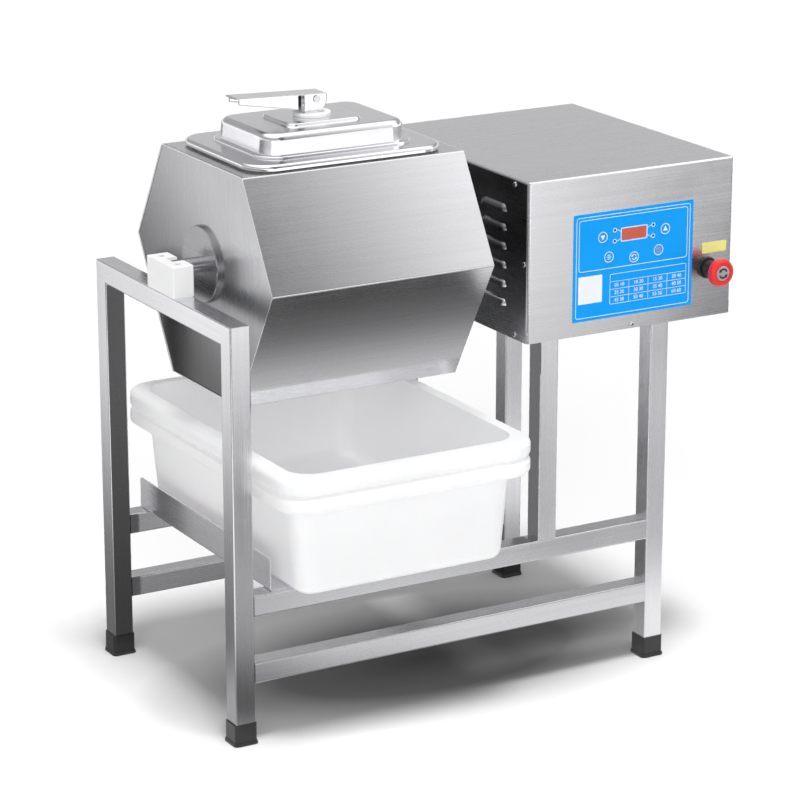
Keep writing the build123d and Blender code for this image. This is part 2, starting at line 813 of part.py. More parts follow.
# End panels with hooded louvres: capsules cut to their upper outer quarter, open below
panel_width = frame_depth - 2 * panel_margin
panel_height = cabinet_height - panel_margin
capsule_straight = louvre_length - 2 * louvre_radius


def louvre_quarter(side, radius, start):
    """A capsule along Y cut to its upper half, and to what lies further out than start."""
    with BuildPart() as quarter:
        Cylinder(radius, capsule_straight, rotation=(90, 0, 0))
        with Locations((0, -capsule_straight / 2, 0), (0, capsule_straight / 2, 0)):
            Sphere(radius)
        split(bisect_by=Plane.XY, keep=Keep.TOP)
        split(bisect_by=Plane(origin=(side * start, 0, 0), z_dir=(side, 0, 0)), keep=Keep.TOP)
    return quarter


for name, side in (("cabinet_left_panel", -1), ("cabinet_right_panel", 1)):
    inner_x = cabinet_left if side < 0 else cabinet_right
    outer_x = inner_x + side * sheet
    panel_plane = Plane(origin=(inner_x, axis_y, cabinet_bottom), x_dir=(0, side, 0), z_dir=(side, 0, 0))
    hood = louvre_quarter(side, louvre_radius, louvre_sink)
    hood_hollow = louvre_quarter(side, louvre_radius - sheet, louvre_sink - 2 * sheet)
    hood_y = front_face + louvre_start + louvre_length / 2
    hood_x = outer_x - side * louvre_sink
    top_hood = cabinet_bottom + louvre_top
    hood_places = [(hood_x, hood_y, top_hood - row * louvre_pitch) for row in range(louvre_count)]
    with BuildPart() as end_panel:
        with BuildSketch(panel_plane):
            Rectangle(panel_width, panel_height, align=(Align.CENTER, Align.MIN))
        extrude(amount=sheet)
        with Locations(*hood_places):
            add(hood.part)
        with Locations(*hood_places):
            add(hood_hollow.part, mode=Mode.SUBTRACT)
        if side < 0:
            with BuildSketch(shaft_plane(inner_x)):
                Circle(drive_radius + panel_shaft_gap)
            extrude(amount=-2 * sheet, mode=Mode.SUBTRACT)
    save(end_panel, name)

# Drive: a bearing on the left panel, a gearbox and motor hung on a bracket, and the shaft through them
with BuildPart() as shaft_bearing:
    with BuildSketch(shaft_plane(cabinet_left)):
        RectangleRounded(bearing_flange, bearing_flange, bearing_flange / 6)
    extrude(amount=bearing_flange_thickness)
    with BuildSketch(shaft_plane(cabinet_left)):
        Circle(bearing_boss_radius)
    extrude(amount=bearing_boss_length)
    with BuildSketch(shaft_plane(cabinet_left)):
        Circle(drive_radius + running_clearance)
    extrude(amount=bearing_boss_length, mode=Mode.SUBTRACT)
save(shaft_bearing, "shaft_bearing")

bracket_x = cabinet_left + bracket_offset
gearbox_x = bracket_x + bracket_plate
with BuildPart() as motor_bracket:
    bracket_top = drum_axis_height + bracket_margin
    with BuildSketch(Plane(origin=(bracket_x, axis_y, base_top))):
        Rectangle(bracket_plate, bracket_width, align=(Align.MIN, Align.CENTER))
    extrude(amount=bracket_top - base_top)
    with BuildSketch(Plane(origin=(bracket_x, axis_y, base_top))):
        Rectangle(bracket_foot_length, bracket_width, align=(Align.MIN, Align.CENTER))
    extrude(amount=bracket_plate)
    with BuildSketch(shaft_plane(bracket_x)):
        Circle(bracket_hole_radius)
    extrude(amount=bracket_plate, mode=Mode.SUBTRACT)
    for side in (-1, 1):
        rib_y = axis_y + side * (bracket_width - bracket_plate) / 2
        with BuildSketch(Plane(origin=(gearbox_x, rib_y, base_top), x_dir=(1, 0, 0), z_dir=(0, -1, 0))):
            rib = bracket_foot_length - bracket_plate
            with BuildLine():
                Polyline((0, 0), (rib, 0), (0, rib), close=True)
            make_face()
        extrude(amount=bracket_plate / 2, both=True)
save(motor_bracket, "motor_bracket")

with BuildPart() as gearbox:
    with BuildSketch(shaft_plane(gearbox_x)):
        RectangleRounded(gearbox_width, gearbox_width, gearbox_round)
    extrude(amount=gearbox_length)
    with BuildSketch(shaft_plane(gearbox_x)):
        Circle(drive_radius + running_clearance)
    extrude(amount=drive_reach_in + moving_gap, mode=Mode.SUBTRACT)
save(gearbox, "gearbox")

motor_x = gearbox_x + gearbox_length
with BuildPart() as drive_motor:
    with BuildSketch(shaft_plane(motor_x)):
        Circle(motor_radius)
    extrude(amount=motor_length)
    with BuildSketch(shaft_plane(motor_x + motor_length)):
        Circle(motor_cap_radius)
    extrude(amount=motor_cap)
    terminal_x = motor_x + motor_length / 2
    with BuildSketch(Plane(origin=(terminal_x, axis_y, drum_axis_height))):
        Rectangle(motor_terminal_length, motor_terminal_width)
    extrude(amount=motor_radius + motor_terminal_rise)
save(drive_motor, "drive_motor")

drive_start = cabinet_left - drive_reach_out
with BuildPart() as drive_shaft:
    with BuildSketch(shaft_plane(drive_start)):
        Circle(drive_radius)
    extrude(amount=gearbox_x + drive_reach_in - drive_start)
save(drive_shaft, "drive_shaft")

# Coupling: a sleeve on the drive shaft, slotted for the tang on the drum's own shaft
coupling_x = drive_start + coupling_overlap - coupling_length
with BuildPart() as drive_coupling:
    with BuildSketch(shaft_plane(coupling_x)):
        Circle(coupling_radius)
    extrude(amount=coupling_length)
    chamfer(drive_coupling.edges(), stub_chamfer)
    with BuildSketch(shaft_plane(drive_start)):
        Circle(drive_radius)
    extrude(amount=coupling_overlap, mode=Mode.SUBTRACT)
    with BuildSketch(shaft_plane(coupling_x)):
        Rectangle(tang_width, 2 * coupling_radius)
    extrude(amount=tang_length + moving_gap, mode=Mode.SUBTRACT)
save(drive_coupling, "drive_coupling")

with BuildPart() as drum_drive_shaft:
    with BuildSketch(shaft_plane(right_hub_face)):
        Circle(drum_drive_radius)
    extrude(amount=coupling_x - moving_gap - right_hub_face)
    with BuildSketch(shaft_plane(coupling_x - moving_gap)):
        Rectangle(tang_width, tang_span)
    extrude(amount=tang_length)
save(drum_drive_shaft, "drum_drive_shaft")

# Control panel: film, display window and five keys whose stems reach the switches on the board
overlay_x = overlay_start + overlay_length / 2
overlay_z = overlay_bottom + overlay_height / 2
display_x = display_start + display_length / 2
display_z = display_bottom + display_height / 2
with BuildPart() as control_overlay:
    with BuildSketch(front_plane(0, 0)):
        with Locations((overlay_x, overlay_z)):
            RectangleRounded(overlay_length, overlay_height, overlay_corner)
        with Locations((display_x, display_z)):
            RectangleRounded(
                display_length + 2 * window_gap,
                display_height + 2 * window_gap,
                display_corner + window_gap,
                mode=Mode.SUBTRACT,
            )
        with Locations(*key_places.values()):
            Circle(key_radius + moving_gap, mode=Mode.SUBTRACT)
    extrude(amount=overlay_thickness)
save(control_overlay, "control_overlay")

with BuildPart() as display_window:
    with BuildSketch(front_plane(display_x, display_z)):
        RectangleRounded(display_length, display_height, display_corner)
    extrude(amount=display_thickness)
save(display_window, "display_window")

board_front = board_depth
switch_front = board_front - switch_height
for name, (key_x, key_z) in key_places.items():
    with BuildPart() as key:
        with BuildSketch(front_plane(key_x, key_z, -key_lift)):
            Circle(key_radius)
        extrude(amount=key_rise)
        fillet(key.edges().group_by(Axis.Y)[0], key_round)
        with BuildSketch(front_plane(key_x, key_z, -key_lift)):
            Circle(key_stem_radius)
        extrude(amount=-(key_lift + switch_front - key_switch_gap))
    save(key, name)

key_x_values = [place[0] for place in key_places.values()]
key_z_values = [place[1] for place in key_places.values()]
board_x = (min(key_x_values) + max(key_x_values)) / 2
board_z = (min(key_z_values) + max(key_z_values)) / 2
board_length = max(key_x_values) - min(key_x_values) + 2 * board_margin
board_height = max(key_z_values) - min(key_z_values) + 2 * board_margin
with BuildPart() as control_board:
    with BuildSketch(front_plane(board_x, board_z, board_front)):
        Rectangle(board_length, board_height)
    extrude(amount=-board_thickness)
    with BuildSketch(front_plane(0, 0, board_front)):
        with Locations(*key_places.values()):
            Rectangle(switch_size, switch_size)
    extrude(amount=switch_height)
    standoff_x = board_length - 2 * board_standoff_radius
    standoff_z = board_height - 2 * board_standoff_radius
    with BuildSketch(front_plane(board_x, board_z, board_front)):
        with GridLocations(standoff_x, standoff_z, 2, 2):
            Circle(board_standoff_radius)
    extrude(amount=board_front - sheet)
save(control_board, "control_board")

# Emergency stop: collar on the front, stem through it, mushroom head, and contacts behind
with BuildPart() as estop_collar:
    with BuildSketch(stop_plane):
        Circle(stop_collar_base_radius)
    extrude(amount=stop_collar_base)
    chamfer(estop_collar.edges().group_by(Axis.Y)[0], stop_collar_base / 4)
    with BuildSketch(stop_plane):
        Circle(stop_collar_radius)
    extrude(amount=stop_collar_length)
    with BuildSketch(stop_plane):
        Circle(stop_thread_radius)
    extrude(amount=-stop_thread_length)
    with BuildSketch(stop_plane):
        Circle(stop_stem_radius + running_clearance)
    extrude(amount=stop_head_front, both=True, mode=Mode.SUBTRACT)
save(estop_collar, "estop_collar")

head_back = stop_head_front - stop_head_depth
stem_front = head_back + stop_head_depth / 2
contact_front = stop_thread_length
with BuildPart() as estop_stem:
    with BuildSketch(stop_plane.offset(stem_front)):
        Circle(stop_stem_radius)
    extrude(amount=-(stem_front + contact_front - moving_gap))
save(estop_stem, "estop_stem")

with BuildPart() as estop_head:
    with BuildSketch(Plane(origin=stop_plane.origin, x_dir=(1, 0, 0), z_dir=(0, 0, 1))):
        with BuildLine():
            outline = Polyline(
                (0, -head_back),
                (stop_neck_radius, -head_back),
                (stop_head_radius, -head_back - stop_head_round),
                (stop_head_radius, -stop_head_front + stop_head_round),
            )
            crown = TangentArc(
                outline @ 1,
                (stop_head_radius - stop_head_round, -stop_head_front),
                tangent=(0, -1),
            )
            Polyline(crown @ 1, (0, -stop_head_front), (0, -head_back))
        make_face()
    revolve(axis=Axis(stop_plane.origin, (0, 1, 0)))
    with BuildSketch(stop_plane.offset(head_back)):
        Circle(stop_stem_radius + running_clearance)
    extrude(amount=stem_front - head_back + moving_gap, mode=Mode.SUBTRACT)
save(estop_head, "estop_head")

with BuildPart() as estop_contact_block:
    with BuildSketch(stop_plane.offset(-contact_front)):
        Rectangle(contact_width, contact_height)
        Circle(stop_stem_radius + moving_gap, mode=Mode.SUBTRACT)
    extrude(amount=-contact_depth)
save(estop_contact_block, "estop_contact_block")

# Power supply on the base, and the cable gland in the back
with BuildPart() as power_supply:
    supply_corner = (cabinet_right - supply_end_gap, back_face - supply_back_gap, base_top)
    with BuildSketch(Plane(origin=supply_corner)):
        Rectangle(supply_length, supply_width, align=(Align.MAX, Align.MAX))
    extrude(amount=supply_height)
save(power_supply, "power_supply")

with BuildPart() as cable_gland:
    with BuildSketch(gland_plane):
        RegularPolygon(gland_flange_radius, 6)
    extrude(amount=gland_flange)
    with BuildSketch(gland_plane):
        Circle(gland_radius)
    extrude(amount=gland_length)
    fillet(cable_gland.edges().group_by(Axis.Y)[-1], gland_radius / 3)
    with BuildSketch(gland_plane):
        Circle(gland_tail_radius)
    extrude(amount=-gland_tail)
    with BuildSketch(gland_plane):
        Circle(gland_bore)
    extrude(amount=2 * gland_length, both=True, mode=Mode.SUBTRACT)
save(cable_gland, "cable_gland")
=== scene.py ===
import math

import bmesh
import bpy
from mathutils import Matrix, Vector


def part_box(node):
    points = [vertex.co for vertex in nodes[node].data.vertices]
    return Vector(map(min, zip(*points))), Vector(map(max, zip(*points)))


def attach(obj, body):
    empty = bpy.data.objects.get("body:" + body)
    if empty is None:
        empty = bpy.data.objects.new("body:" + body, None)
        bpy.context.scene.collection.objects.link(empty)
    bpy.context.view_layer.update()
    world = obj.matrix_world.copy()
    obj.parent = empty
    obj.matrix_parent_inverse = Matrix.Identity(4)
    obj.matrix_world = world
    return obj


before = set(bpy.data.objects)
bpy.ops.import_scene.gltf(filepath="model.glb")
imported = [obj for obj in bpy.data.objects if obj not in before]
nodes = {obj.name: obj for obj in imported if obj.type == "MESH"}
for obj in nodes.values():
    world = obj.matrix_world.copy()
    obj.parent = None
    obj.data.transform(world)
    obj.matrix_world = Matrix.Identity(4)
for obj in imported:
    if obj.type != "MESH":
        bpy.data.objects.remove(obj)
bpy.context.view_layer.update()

# Places of the machine, in metres, read from the solids
MM = 0.001
COVER_LOW, COVER_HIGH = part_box("cabinet_cover")
CABINET_LEFT = COVER_LOW[0]
CABINET_RIGHT = COVER_HIGH[0]
CABINET_FRONT = COVER_LOW[1]
CABINET_BACK = COVER_HIGH[1]
CABINET_BOTTOM = COVER_LOW[2]
CABINET_TOP = COVER_HIGH[2]
END_SHEET = 1.5 * MM
PANEL_LEFT = CABINET_LEFT - END_SHEET
PANEL_RIGHT = CABINET_RIGHT + END_SHEET
OVERLAY_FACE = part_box("control_overlay")[0][1]
HUB_LOW, HUB_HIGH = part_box("left_hub_disc")
AXIS_Y = (HUB_LOW[1] + HUB_HIGH[1]) / 2
AXIS_Z = (HUB_LOW[2] + HUB_HIGH[2]) / 2


# Part of a noise value's spread that the materials use
NOISE_LOW = 0.3
NOISE_HIGH = 0.7

# Marks of brushed steel, in noise cells for each metre, and how much bluer than grey it is
FINE_ALONG = 5.0
BROAD_ALONG = 1.5
BROAD_ACROSS = 110.0
SMUDGE = 7.0
BLUE_CAST = 0.03


# Material helpers
def start_material(name):
    """A new node material, its tree and its main shader."""
    material = bpy.data.materials.new(name)
    material.use_nodes = True
    tree = material.node_tree
    shader = tree.nodes["Principled BSDF"]
    return material, tree, shader


def streak_noise(tree, scale, detail=3.0, roughness=0.6):
    """Noise in the object's own space, stretched by a scale for each axis."""
    coordinates = tree.nodes.new("ShaderNodeTexCoord")
    mapping = tree.nodes.new("ShaderNodeMapping")
    mapping.inputs["Scale"].default_value = scale
    noise = tree.nodes.new("ShaderNodeTexNoise")
    noise.inputs["Scale"].default_value = 1.0
    noise.inputs["Detail"].default_value = detail
    noise.inputs["Roughness"].default_value = roughness
    tree.links.new(coordinates.outputs["Object"], mapping.inputs["Vector"])
    tree.links.new(mapping.outputs["Vector"], noise.inputs["Vector"])
    return noise.outputs["Fac"]


def remap(tree, value, low, high):
    """Map a noise value's usual spread onto a range."""
    node = tree.nodes.new("ShaderNodeMapRange")
    node.inputs["From Min"].default_value = NOISE_LOW
    node.inputs["From Max"].default_value = NOISE_HIGH
    node.inputs["To Min"].default_value = low
    node.inputs["To Max"].default_value = high
    tree.links.new(value, node.inputs["Value"])
    return node.outputs["Result"]


def tint(tree, value, dark, light):
    """A colour between two, chosen by a noise value."""
    ramp = tree.nodes.new("ShaderNodeValToRGB")
    ramp.color_ramp.elements[0].position = NOISE_LOW
    ramp.color_ramp.elements[0].color = (*dark, 1)
    ramp.color_ramp.elements[1].position = NOISE_HIGH
    ramp.color_ramp.elements[1].color = (*light, 1)
    tree.links.new(value, ramp.inputs["Fac"])
    return ramp.outputs["Color"]


def raise_bump(tree, shader, value, strength, distance):
    """Give the shader a bump from a noise value."""
    bump = tree.nodes.new("ShaderNodeBump")
    bump.inputs["Strength"].default_value = strength
    bump.inputs["Distance"].default_value = distance
    tree.links.new(value, bump.inputs["Height"])
    tree.links.new(bump.outputs["Normal"], shader.inputs["Normal"])


def paint_shade_along(tree, colour, direction, start, end, dark_share):
    """Paint shade into a colour along a direction of the machine, darkening it from a share of it up to all
    of it.
    """
    place = tree.nodes.new("ShaderNodeTexCoord").outputs["Object"]
    along = tree.nodes.new("ShaderNodeVectorMath")
    along.operation = "DOT_PRODUCT"
    along.inputs[1].default_value = direction
    tree.links.new(place, along.inputs[0])
    share = tree.nodes.new("ShaderNodeMapRange")
    share.interpolation_type = "SMOOTHSTEP"
    share.inputs["From Min"].default_value = start
    share.inputs["From Max"].default_value = end
    share.inputs["To Min"].default_value = dark_share
    share.inputs["To Max"].default_value = 1.0
    tree.links.new(along.outputs["Value"], share.inputs["Value"])
    scaled = tree.nodes.new("ShaderNodeVectorMath")
    scaled.operation = "SCALE"
    tree.links.new(colour, scaled.inputs[0])
    tree.links.new(share.outputs["Result"], scaled.inputs["Scale"])
    return scaled.outputs["Vector"]


def brushed_steel(name, axis, grey, rough, contrast=0.04, fine=900.0, painted_shade=None):
    """Stainless steel with brush lines along one axis of the machine, and painted shade along a direction if
    one is given.
    """
    material, tree, shader = start_material(name)
    fine_scale = [fine] * 3
    broad_scale = [BROAD_ACROSS] * 3
    fine_scale["xyz".index(axis)] = FINE_ALONG
    broad_scale["xyz".index(axis)] = BROAD_ALONG
    fine_lines = streak_noise(tree, fine_scale)
    broad_lines = streak_noise(tree, broad_scale, detail=4.0)
    smudges = streak_noise(tree, (SMUDGE, SMUDGE, SMUDGE), detail=5.0)
    low = 1 - contrast
    high = 1 + contrast
    dark = (grey * low, grey * low, grey * (low + BLUE_CAST))
    light = (grey * high, grey * high, grey * (high + BLUE_CAST))
    colour = tint(tree, broad_lines, dark, light)
    if painted_shade:
        colour = paint_shade_along(tree, colour, *painted_shade)
    tree.links.new(colour, shader.inputs["Base Color"])
    mixed = tree.nodes.new("ShaderNodeMath")
    mixed.operation = "ADD"
    tree.links.new(remap(tree, smudges, rough * 0.85, rough * 1.15), mixed.inputs[0])
    tree.links.new(remap(tree, fine_lines, -0.04, 0.04), mixed.inputs[1])
    tree.links.new(mixed.outputs["Value"], shader.inputs["Roughness"])
    raise_bump(tree, shader, fine_lines, 0.06, 0.0003)
    shader.inputs["Metallic"].default_value = 1.0
    return material


def plastic(name, dark, light, rough, grain=900.0, grain_depth=0.1, coat=0.0, subsurface=0.0, glow=0.0,
            gloss=0.5):
    """Moulded plastic with a faint grain and slow changes of shade; a glow, if given, is painted light."""
    material, tree, shader = start_material(name)
    shade = streak_noise(tree, (9.0, 9.0, 9.0), detail=4.0)
    texture = streak_noise(tree, (grain, grain, grain), detail=2.0)
    tree.links.new(tint(tree, shade, dark, light), shader.inputs["Base Color"])
    tree.links.new(remap(tree, texture, rough * 0.9, rough * 1.1), shader.inputs["Roughness"])
    raise_bump(tree, shader, texture, grain_depth, 0.0002)
    shader.inputs["Coat Weight"].default_value = coat
    shader.inputs["Specular IOR Level"].default_value = gloss
    shader.inputs["Subsurface Weight"].default_value = subsurface
    shader.inputs["Subsurface Scale"].default_value = 0.01
    # Any glow is painted light, in the plastic's lighter colour.
    shader.inputs["Emission Color"].default_value = (*light, 1)
    shader.inputs["Emission Strength"].default_value = glow
    return material


def cast_metal(name, dark, light, rough, metallic=1.0, bend=0.0):
    """Cast or painted metal with a slightly uneven skin; a bend rounds the look of its sharp edges."""
    material, tree, shader = start_material(name)
    shade = streak_noise(tree, (30.0, 30.0, 30.0), detail=5.0)
    skin = streak_noise(tree, (420.0, 420.0, 420.0), detail=3.0)
    tree.links.new(tint(tree, shade, dark, light), shader.inputs["Base Color"])
    tree.links.new(remap(tree, skin, rough * 0.85, rough * 1.15), shader.inputs["Roughness"])
    raise_bump(tree, shader, skin, 0.15, 0.0003)
    if bend:
        rounded = tree.nodes.new("ShaderNodeBevel")
        rounded.samples = 8
        rounded.inputs["Radius"].default_value = bend
        tree.links.new(rounded.outputs["Normal"], tree.nodes["Bump"].inputs["Normal"])
    shader.inputs["Metallic"].default_value = metallic
    return material


rail_steel = brushed_steel("rail_steel_along_x", "x", 0.70, 0.26, contrast=0.03)
cross_steel = brushed_steel("crossbar_steel_along_y", "y", 0.82, 0.25, contrast=0.03)
# The left uprights' colour darkens towards the floor: painted shade.
left_upright_steel = brushed_steel("left_upright_steel", "z", 0.80, 0.26, contrast=0.03,
                                   painted_shade=((0, 0, 1), 0.02, 0.55, 0.45))
right_upright_steel = brushed_steel("right_upright_steel", "z", 0.82, 0.27, contrast=0.03)
# The back middle post takes a darker copy of the upright steel: painted shade.
shaded_upright_steel = brushed_steel("shaded_upright_steel", "z", 0.48, 0.27, contrast=0.03)
# The cover's colour darkens towards its lower right end: painted shade.
sheet_x = brushed_steel("cover_sheet_steel", "x", 0.78, 0.28, contrast=0.03,
                        painted_shade=((-1, 0, 1), 0.10, 0.36, 0.60))
# The end panels' colour darkens towards the top: painted shade.
sheet_y = brushed_steel("panel_sheet_steel", "y", 0.94, 0.28, contrast=0.03,
                        painted_shade=((0, 0, -1), -0.76, -0.60, 0.23))
drum_x = brushed_steel("drum_shell_steel", "x", 0.74, 0.27, contrast=0.03)
# The drum's end plates darken towards their lower back: painted shade in place of a reflection.
drum_z = brushed_steel("drum_end_steel", "z", 0.56, 0.28, contrast=0.015,
                       painted_shade=((0, -0.45, 0.9), 0.46, 0.80, 0.30))
hub_steel = brushed_steel("hub_steel", "y", 0.40, 0.28, contrast=0.02)
lid_steel = brushed_steel("lid_pressed_steel", "x", 0.86, 0.18, contrast=0.03, fine=500.0)
guide_steel = brushed_steel("guide_steel_along_y", "y", 0.92, 0.27, contrast=0.03)
lever_steel = cast_metal("lever_polished_steel", (0.70, 0.70, 0.71), (0.76, 0.76, 0.77), 0.12, bend=0.003)
turned_steel = brushed_steel("turned_steel", "y", 0.62, 0.25, contrast=0.06)
# The drum's edge beads are a real rounded edge, made brighter than the drum by a pale, half-metal finish: a
# painted highlight.
bead_highlight_steel = cast_metal("edge_highlight_steel", (0.86, 0.86, 0.87), (0.92, 0.92, 0.93), 0.30, metallic=0.3)
# The seam's dark steel is painted shade of the groove beside the drum's edge.
seam_shade = cast_metal("seam_shade_steel", (0.10, 0.10, 0.105), (0.14, 0.14, 0.145), 0.45)
screw_chrome = cast_metal("screw_bright_metal", (0.72, 0.72, 0.72), (0.80, 0.80, 0.80), 0.14)
# The white nylon and the tubs glow a little: painted light that brightens them where they lie in shade.
white_nylon = plastic("white_nylon", (0.88, 0.88, 0.88), (0.93, 0.93, 0.93), 0.38, subsurface=0.08,
                      glow=0.12)
tub_plastic = plastic("tub_white_plastic", (0.82, 0.82, 0.83), (0.87, 0.87, 0.88), 0.36, grain=500.0,
                      grain_depth=0.05, subsurface=0.1, glow=0.18)
foot_plastic = plastic("foot_black_plastic", (0.018, 0.018, 0.019), (0.030, 0.030, 0.031), 0.30)
black_plastic = plastic("black_plastic", (0.010, 0.010, 0.011), (0.020, 0.020, 0.021), 0.40)
red_plastic = plastic("stop_red_plastic", (0.74, 0.012, 0.016), (0.84, 0.020, 0.022), 0.26, coat=0.3)
blue_film = plastic("panel_blue_film", (0.000, 0.345, 0.94), (0.001, 0.370, 0.98), 0.40, grain=1600.0,
                    grain_depth=0.04, gloss=0.15)
key_film = plastic("key_blue_film", (0.000, 0.345, 0.94), (0.001, 0.370, 0.98), 0.36, grain=1600.0,
                   grain_depth=0.04, gloss=0.15)
white_ink = plastic("white_print", (0.86, 0.90, 0.95), (0.92, 0.95, 0.98), 0.40)
display_red = plastic("display_red", (0.62, 0.10, 0.055), (0.72, 0.125, 0.07), 0.22, coat=0.4)
segment_dim = plastic("display_segments", (0.50, 0.07, 0.04), (0.56, 0.08, 0.045), 0.30)
orange_ink = plastic("orange_print", (0.70, 0.16, 0.09), (0.78, 0.20, 0.11), 0.40)
lamp_dark = plastic("indicator_lens", (0.02, 0.05, 0.16), (0.03, 0.07, 0.20), 0.20, coat=0.5)
yellow_plate = plastic("yellow_plate", (0.92, 0.87, 0.26), (0.97, 0.92, 0.31), 0.40)
silver_insert = cast_metal("stop_silver_insert", (0.58, 0.58, 0.58), (0.66, 0.66, 0.66), 0.30)
board_green = plastic("board_green", (0.01, 0.12, 0.04), (0.02, 0.18, 0.06), 0.45)
motor_paint = cast_metal("motor_dark_paint", (0.05, 0.055, 0.06), (0.08, 0.085, 0.09), 0.45, metallic=0.0)
cast_alloy = cast_metal("cast_alloy", (0.48, 0.48, 0.49), (0.58, 0.58, 0.59), 0.45)
bearing_iron = cast_metal("bearing_iron", (0.14, 0.15, 0.16), (0.22, 0.23, 0.24), 0.50)
gasket_rubber = plastic("gasket_rubber", (0.62, 0.62, 0.60), (0.70, 0.70, 0.68), 0.60)

# Which material each solid of the frame gets
LOOKS = {
    rail_steel: ["front_upper_rail", "back_upper_rail", "front_lower_rail", "back_lower_rail"],
    cross_steel: ["left_crossbar"],
    guide_steel: ["left_tub_guide", "right_tub_guide"],
    left_upright_steel: ["front_left_leg", "back_left_leg"],
    right_upright_steel: ["front_right_leg", "back_right_leg", "front_mid_post"],
    shaded_upright_steel: ["back_mid_post"],
    sheet_x: ["cabinet_cover", "cabinet_base", "motor_bracket"],
    sheet_y: ["cabinet_left_panel", "cabinet_right_panel"],
    drum_x: ["drum_shell", "drum_baffles"],
    drum_z: ["drum_left_end", "drum_right_end"],
    hub_steel: ["left_hub_disc", "right_hub_disc"],
    lid_steel: ["lid_pan"],
    lever_steel: ["clamp_lever"],
    turned_steel: ["left_stub_shaft", "drive_shaft", "drive_coupling", "drum_drive_shaft", "clamp_spindle",
                   "clamp_bar", "clamp_pin", "bearing_block_screws"],
    white_nylon: ["bearing_block", "clamp_washer"],
    tub_plastic: ["lower_tub", "upper_tub"],
    foot_plastic: ["front_left_foot", "back_left_foot", "front_right_foot", "back_right_foot"],
    black_plastic: ["estop_collar", "estop_stem", "estop_contact_block", "cable_gland"],
    red_plastic: ["estop_head"],
    blue_film: ["control_overlay"],
    key_film: ["key_down", "key_up", "key_left", "key_middle", "key_right"],
    display_red: ["display_window"],
    board_green: ["control_board"],
    motor_paint: ["drive_motor"],
    cast_alloy: ["gearbox", "power_supply"],
    bearing_iron: ["shaft_bearing"],
    gasket_rubber: ["lid_gasket"],
}
for look, names in LOOKS.items():
    for name in names:
        nodes[name].data.materials.clear()
        nodes[name].data.materials.append(look)


# Mesh helpers
def make_piece(name, mesh_builder, material, body, smooth=False):
    """Turn a bmesh into a piece that rides on a body and takes its finish from a slot."""
    mesh = bpy.data.meshes.new(name)
    bmesh.ops.recalc_face_normals(mesh_builder, faces=mesh_builder.faces)
    mesh_builder.to_mesh(mesh)
    mesh_builder.free()
    mesh.materials.append(material)
    if smooth:
        for polygon in mesh.polygons:
            polygon.use_smooth = True
    piece = bpy.data.objects.new(name, mesh)
    bpy.context.scene.collection.objects.link(piece)
    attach(piece, body)
    return piece


def add_prism(builder, outline, place, thickness):
    """Add a flat outline, given in a plane's own x and y, raised by a thickness along the plane's z."""
    low = [builder.verts.new(place @ Vector((x, y, 0))) for x, y in outline]
    high = [builder.verts.new(place @ Vector((x, y, thickness))) for x, y in outline]
    builder.faces.new(low[::-1])
    builder.faces.new(high)
    count = len(outline)
    for i in range(count):
        j = (i + 1) % count
        builder.faces.new((low[i], low[j], high[j], high[i]))


def join_rings(builder, rings):
    """Add the faces between rings with the same number of points, and from the last back to the first."""
    count = len(rings[0])
    for first, second in zip(rings, rings[1:] + rings[:1]):
        for i in range(count):
            j = (i + 1) % count
            builder.faces.new((first[i], first[j], second[j], second[i]))


def add_band(builder, outer, inner, place, thickness):
    """Add a closed band between two outlines with the same number of points."""
    rings = []
    for outline, height in ((outer, 0), (outer, thickness), (inner, thickness), (inner, 0)):
        rings.append([builder.verts.new(place @ Vector((x, y, height))) for x, y in outline])
    join_rings(builder, rings)


def add_lathe(builder, profile, place, steps=32):
    """Spin a profile of (radius, height) about a plane's z, closed at both ends on the axis."""
    rings = []
    for radius, height in profile:
        if radius == 0:
            rings.append([builder.verts.new(place @ Vector((0, 0, height)))])
            continue
        ring = []
        for i in range(steps):
            angle = 2 * math.pi * i / steps
            point = Vector((radius * math.cos(angle), radius * math.sin(angle), height))
            ring.append(builder.verts.new(place @ point))
        rings.append(ring)
    for first, second in zip(rings, rings[1:]):
        for i in range(steps):
            j = (i + 1) % steps
            corners = [
                first[i % len(first)], first[j % len(first)],
                second[j % len(second)], second[i % len(second)],
            ]
            unique = list(dict.fromkeys(corners))
            if len(unique) > 2:
                builder.faces.new(unique)


def rounded_box(x0, y0, x1, y1, radius, steps=6):
    """Points of a rounded rectangle, anticlockwise."""
    points = []
    for centre_x, centre_y, start in (
        (x1 - radius, y0 + radius, -90),
        (x1 - radius, y1 - radius, 0),
        (x0 + radius, y1 - radius, 90),
        (x0 + radius, y0 + radius, 180),
    ):
        for i in range(steps + 1):
            angle = math.radians(start + 90 * i / steps)
            points.append((centre_x + radius * math.cos(angle), centre_y + radius * math.sin(angle)))
    return points


def circle(centre_x, centre_y, radius, steps=28):
    """Points of a circle, anticlockwise."""
    points = []
    for i in range(steps):
        angle = 2 * math.pi * i / steps
        points.append((centre_x + radius * math.cos(angle), centre_y + radius * math.sin(angle)))
    return points


def facing(x, y, z, across, outward):
    """A plane at a point, its x along across and its z along outward."""
    z_axis = Vector(outward).normalized()
    x_axis = Vector(across).normalized()
    y_axis = z_axis.cross(x_axis)
    return Matrix((
        (x_axis.x, y_axis.x, z_axis.x, x),
        (x_axis.y, y_axis.y, z_axis.y, y),
        (x_axis.z, y_axis.z, z_axis.z, z),
        (0, 0, 0, 1),
    ))


def front_plane(x, y, z):
    """A plane in millimetres at a point, that looks to the front."""
    return facing(x, y, z, (1, 0, 0), (0, -1, 0)) @ Matrix.Scale(MM, 4)


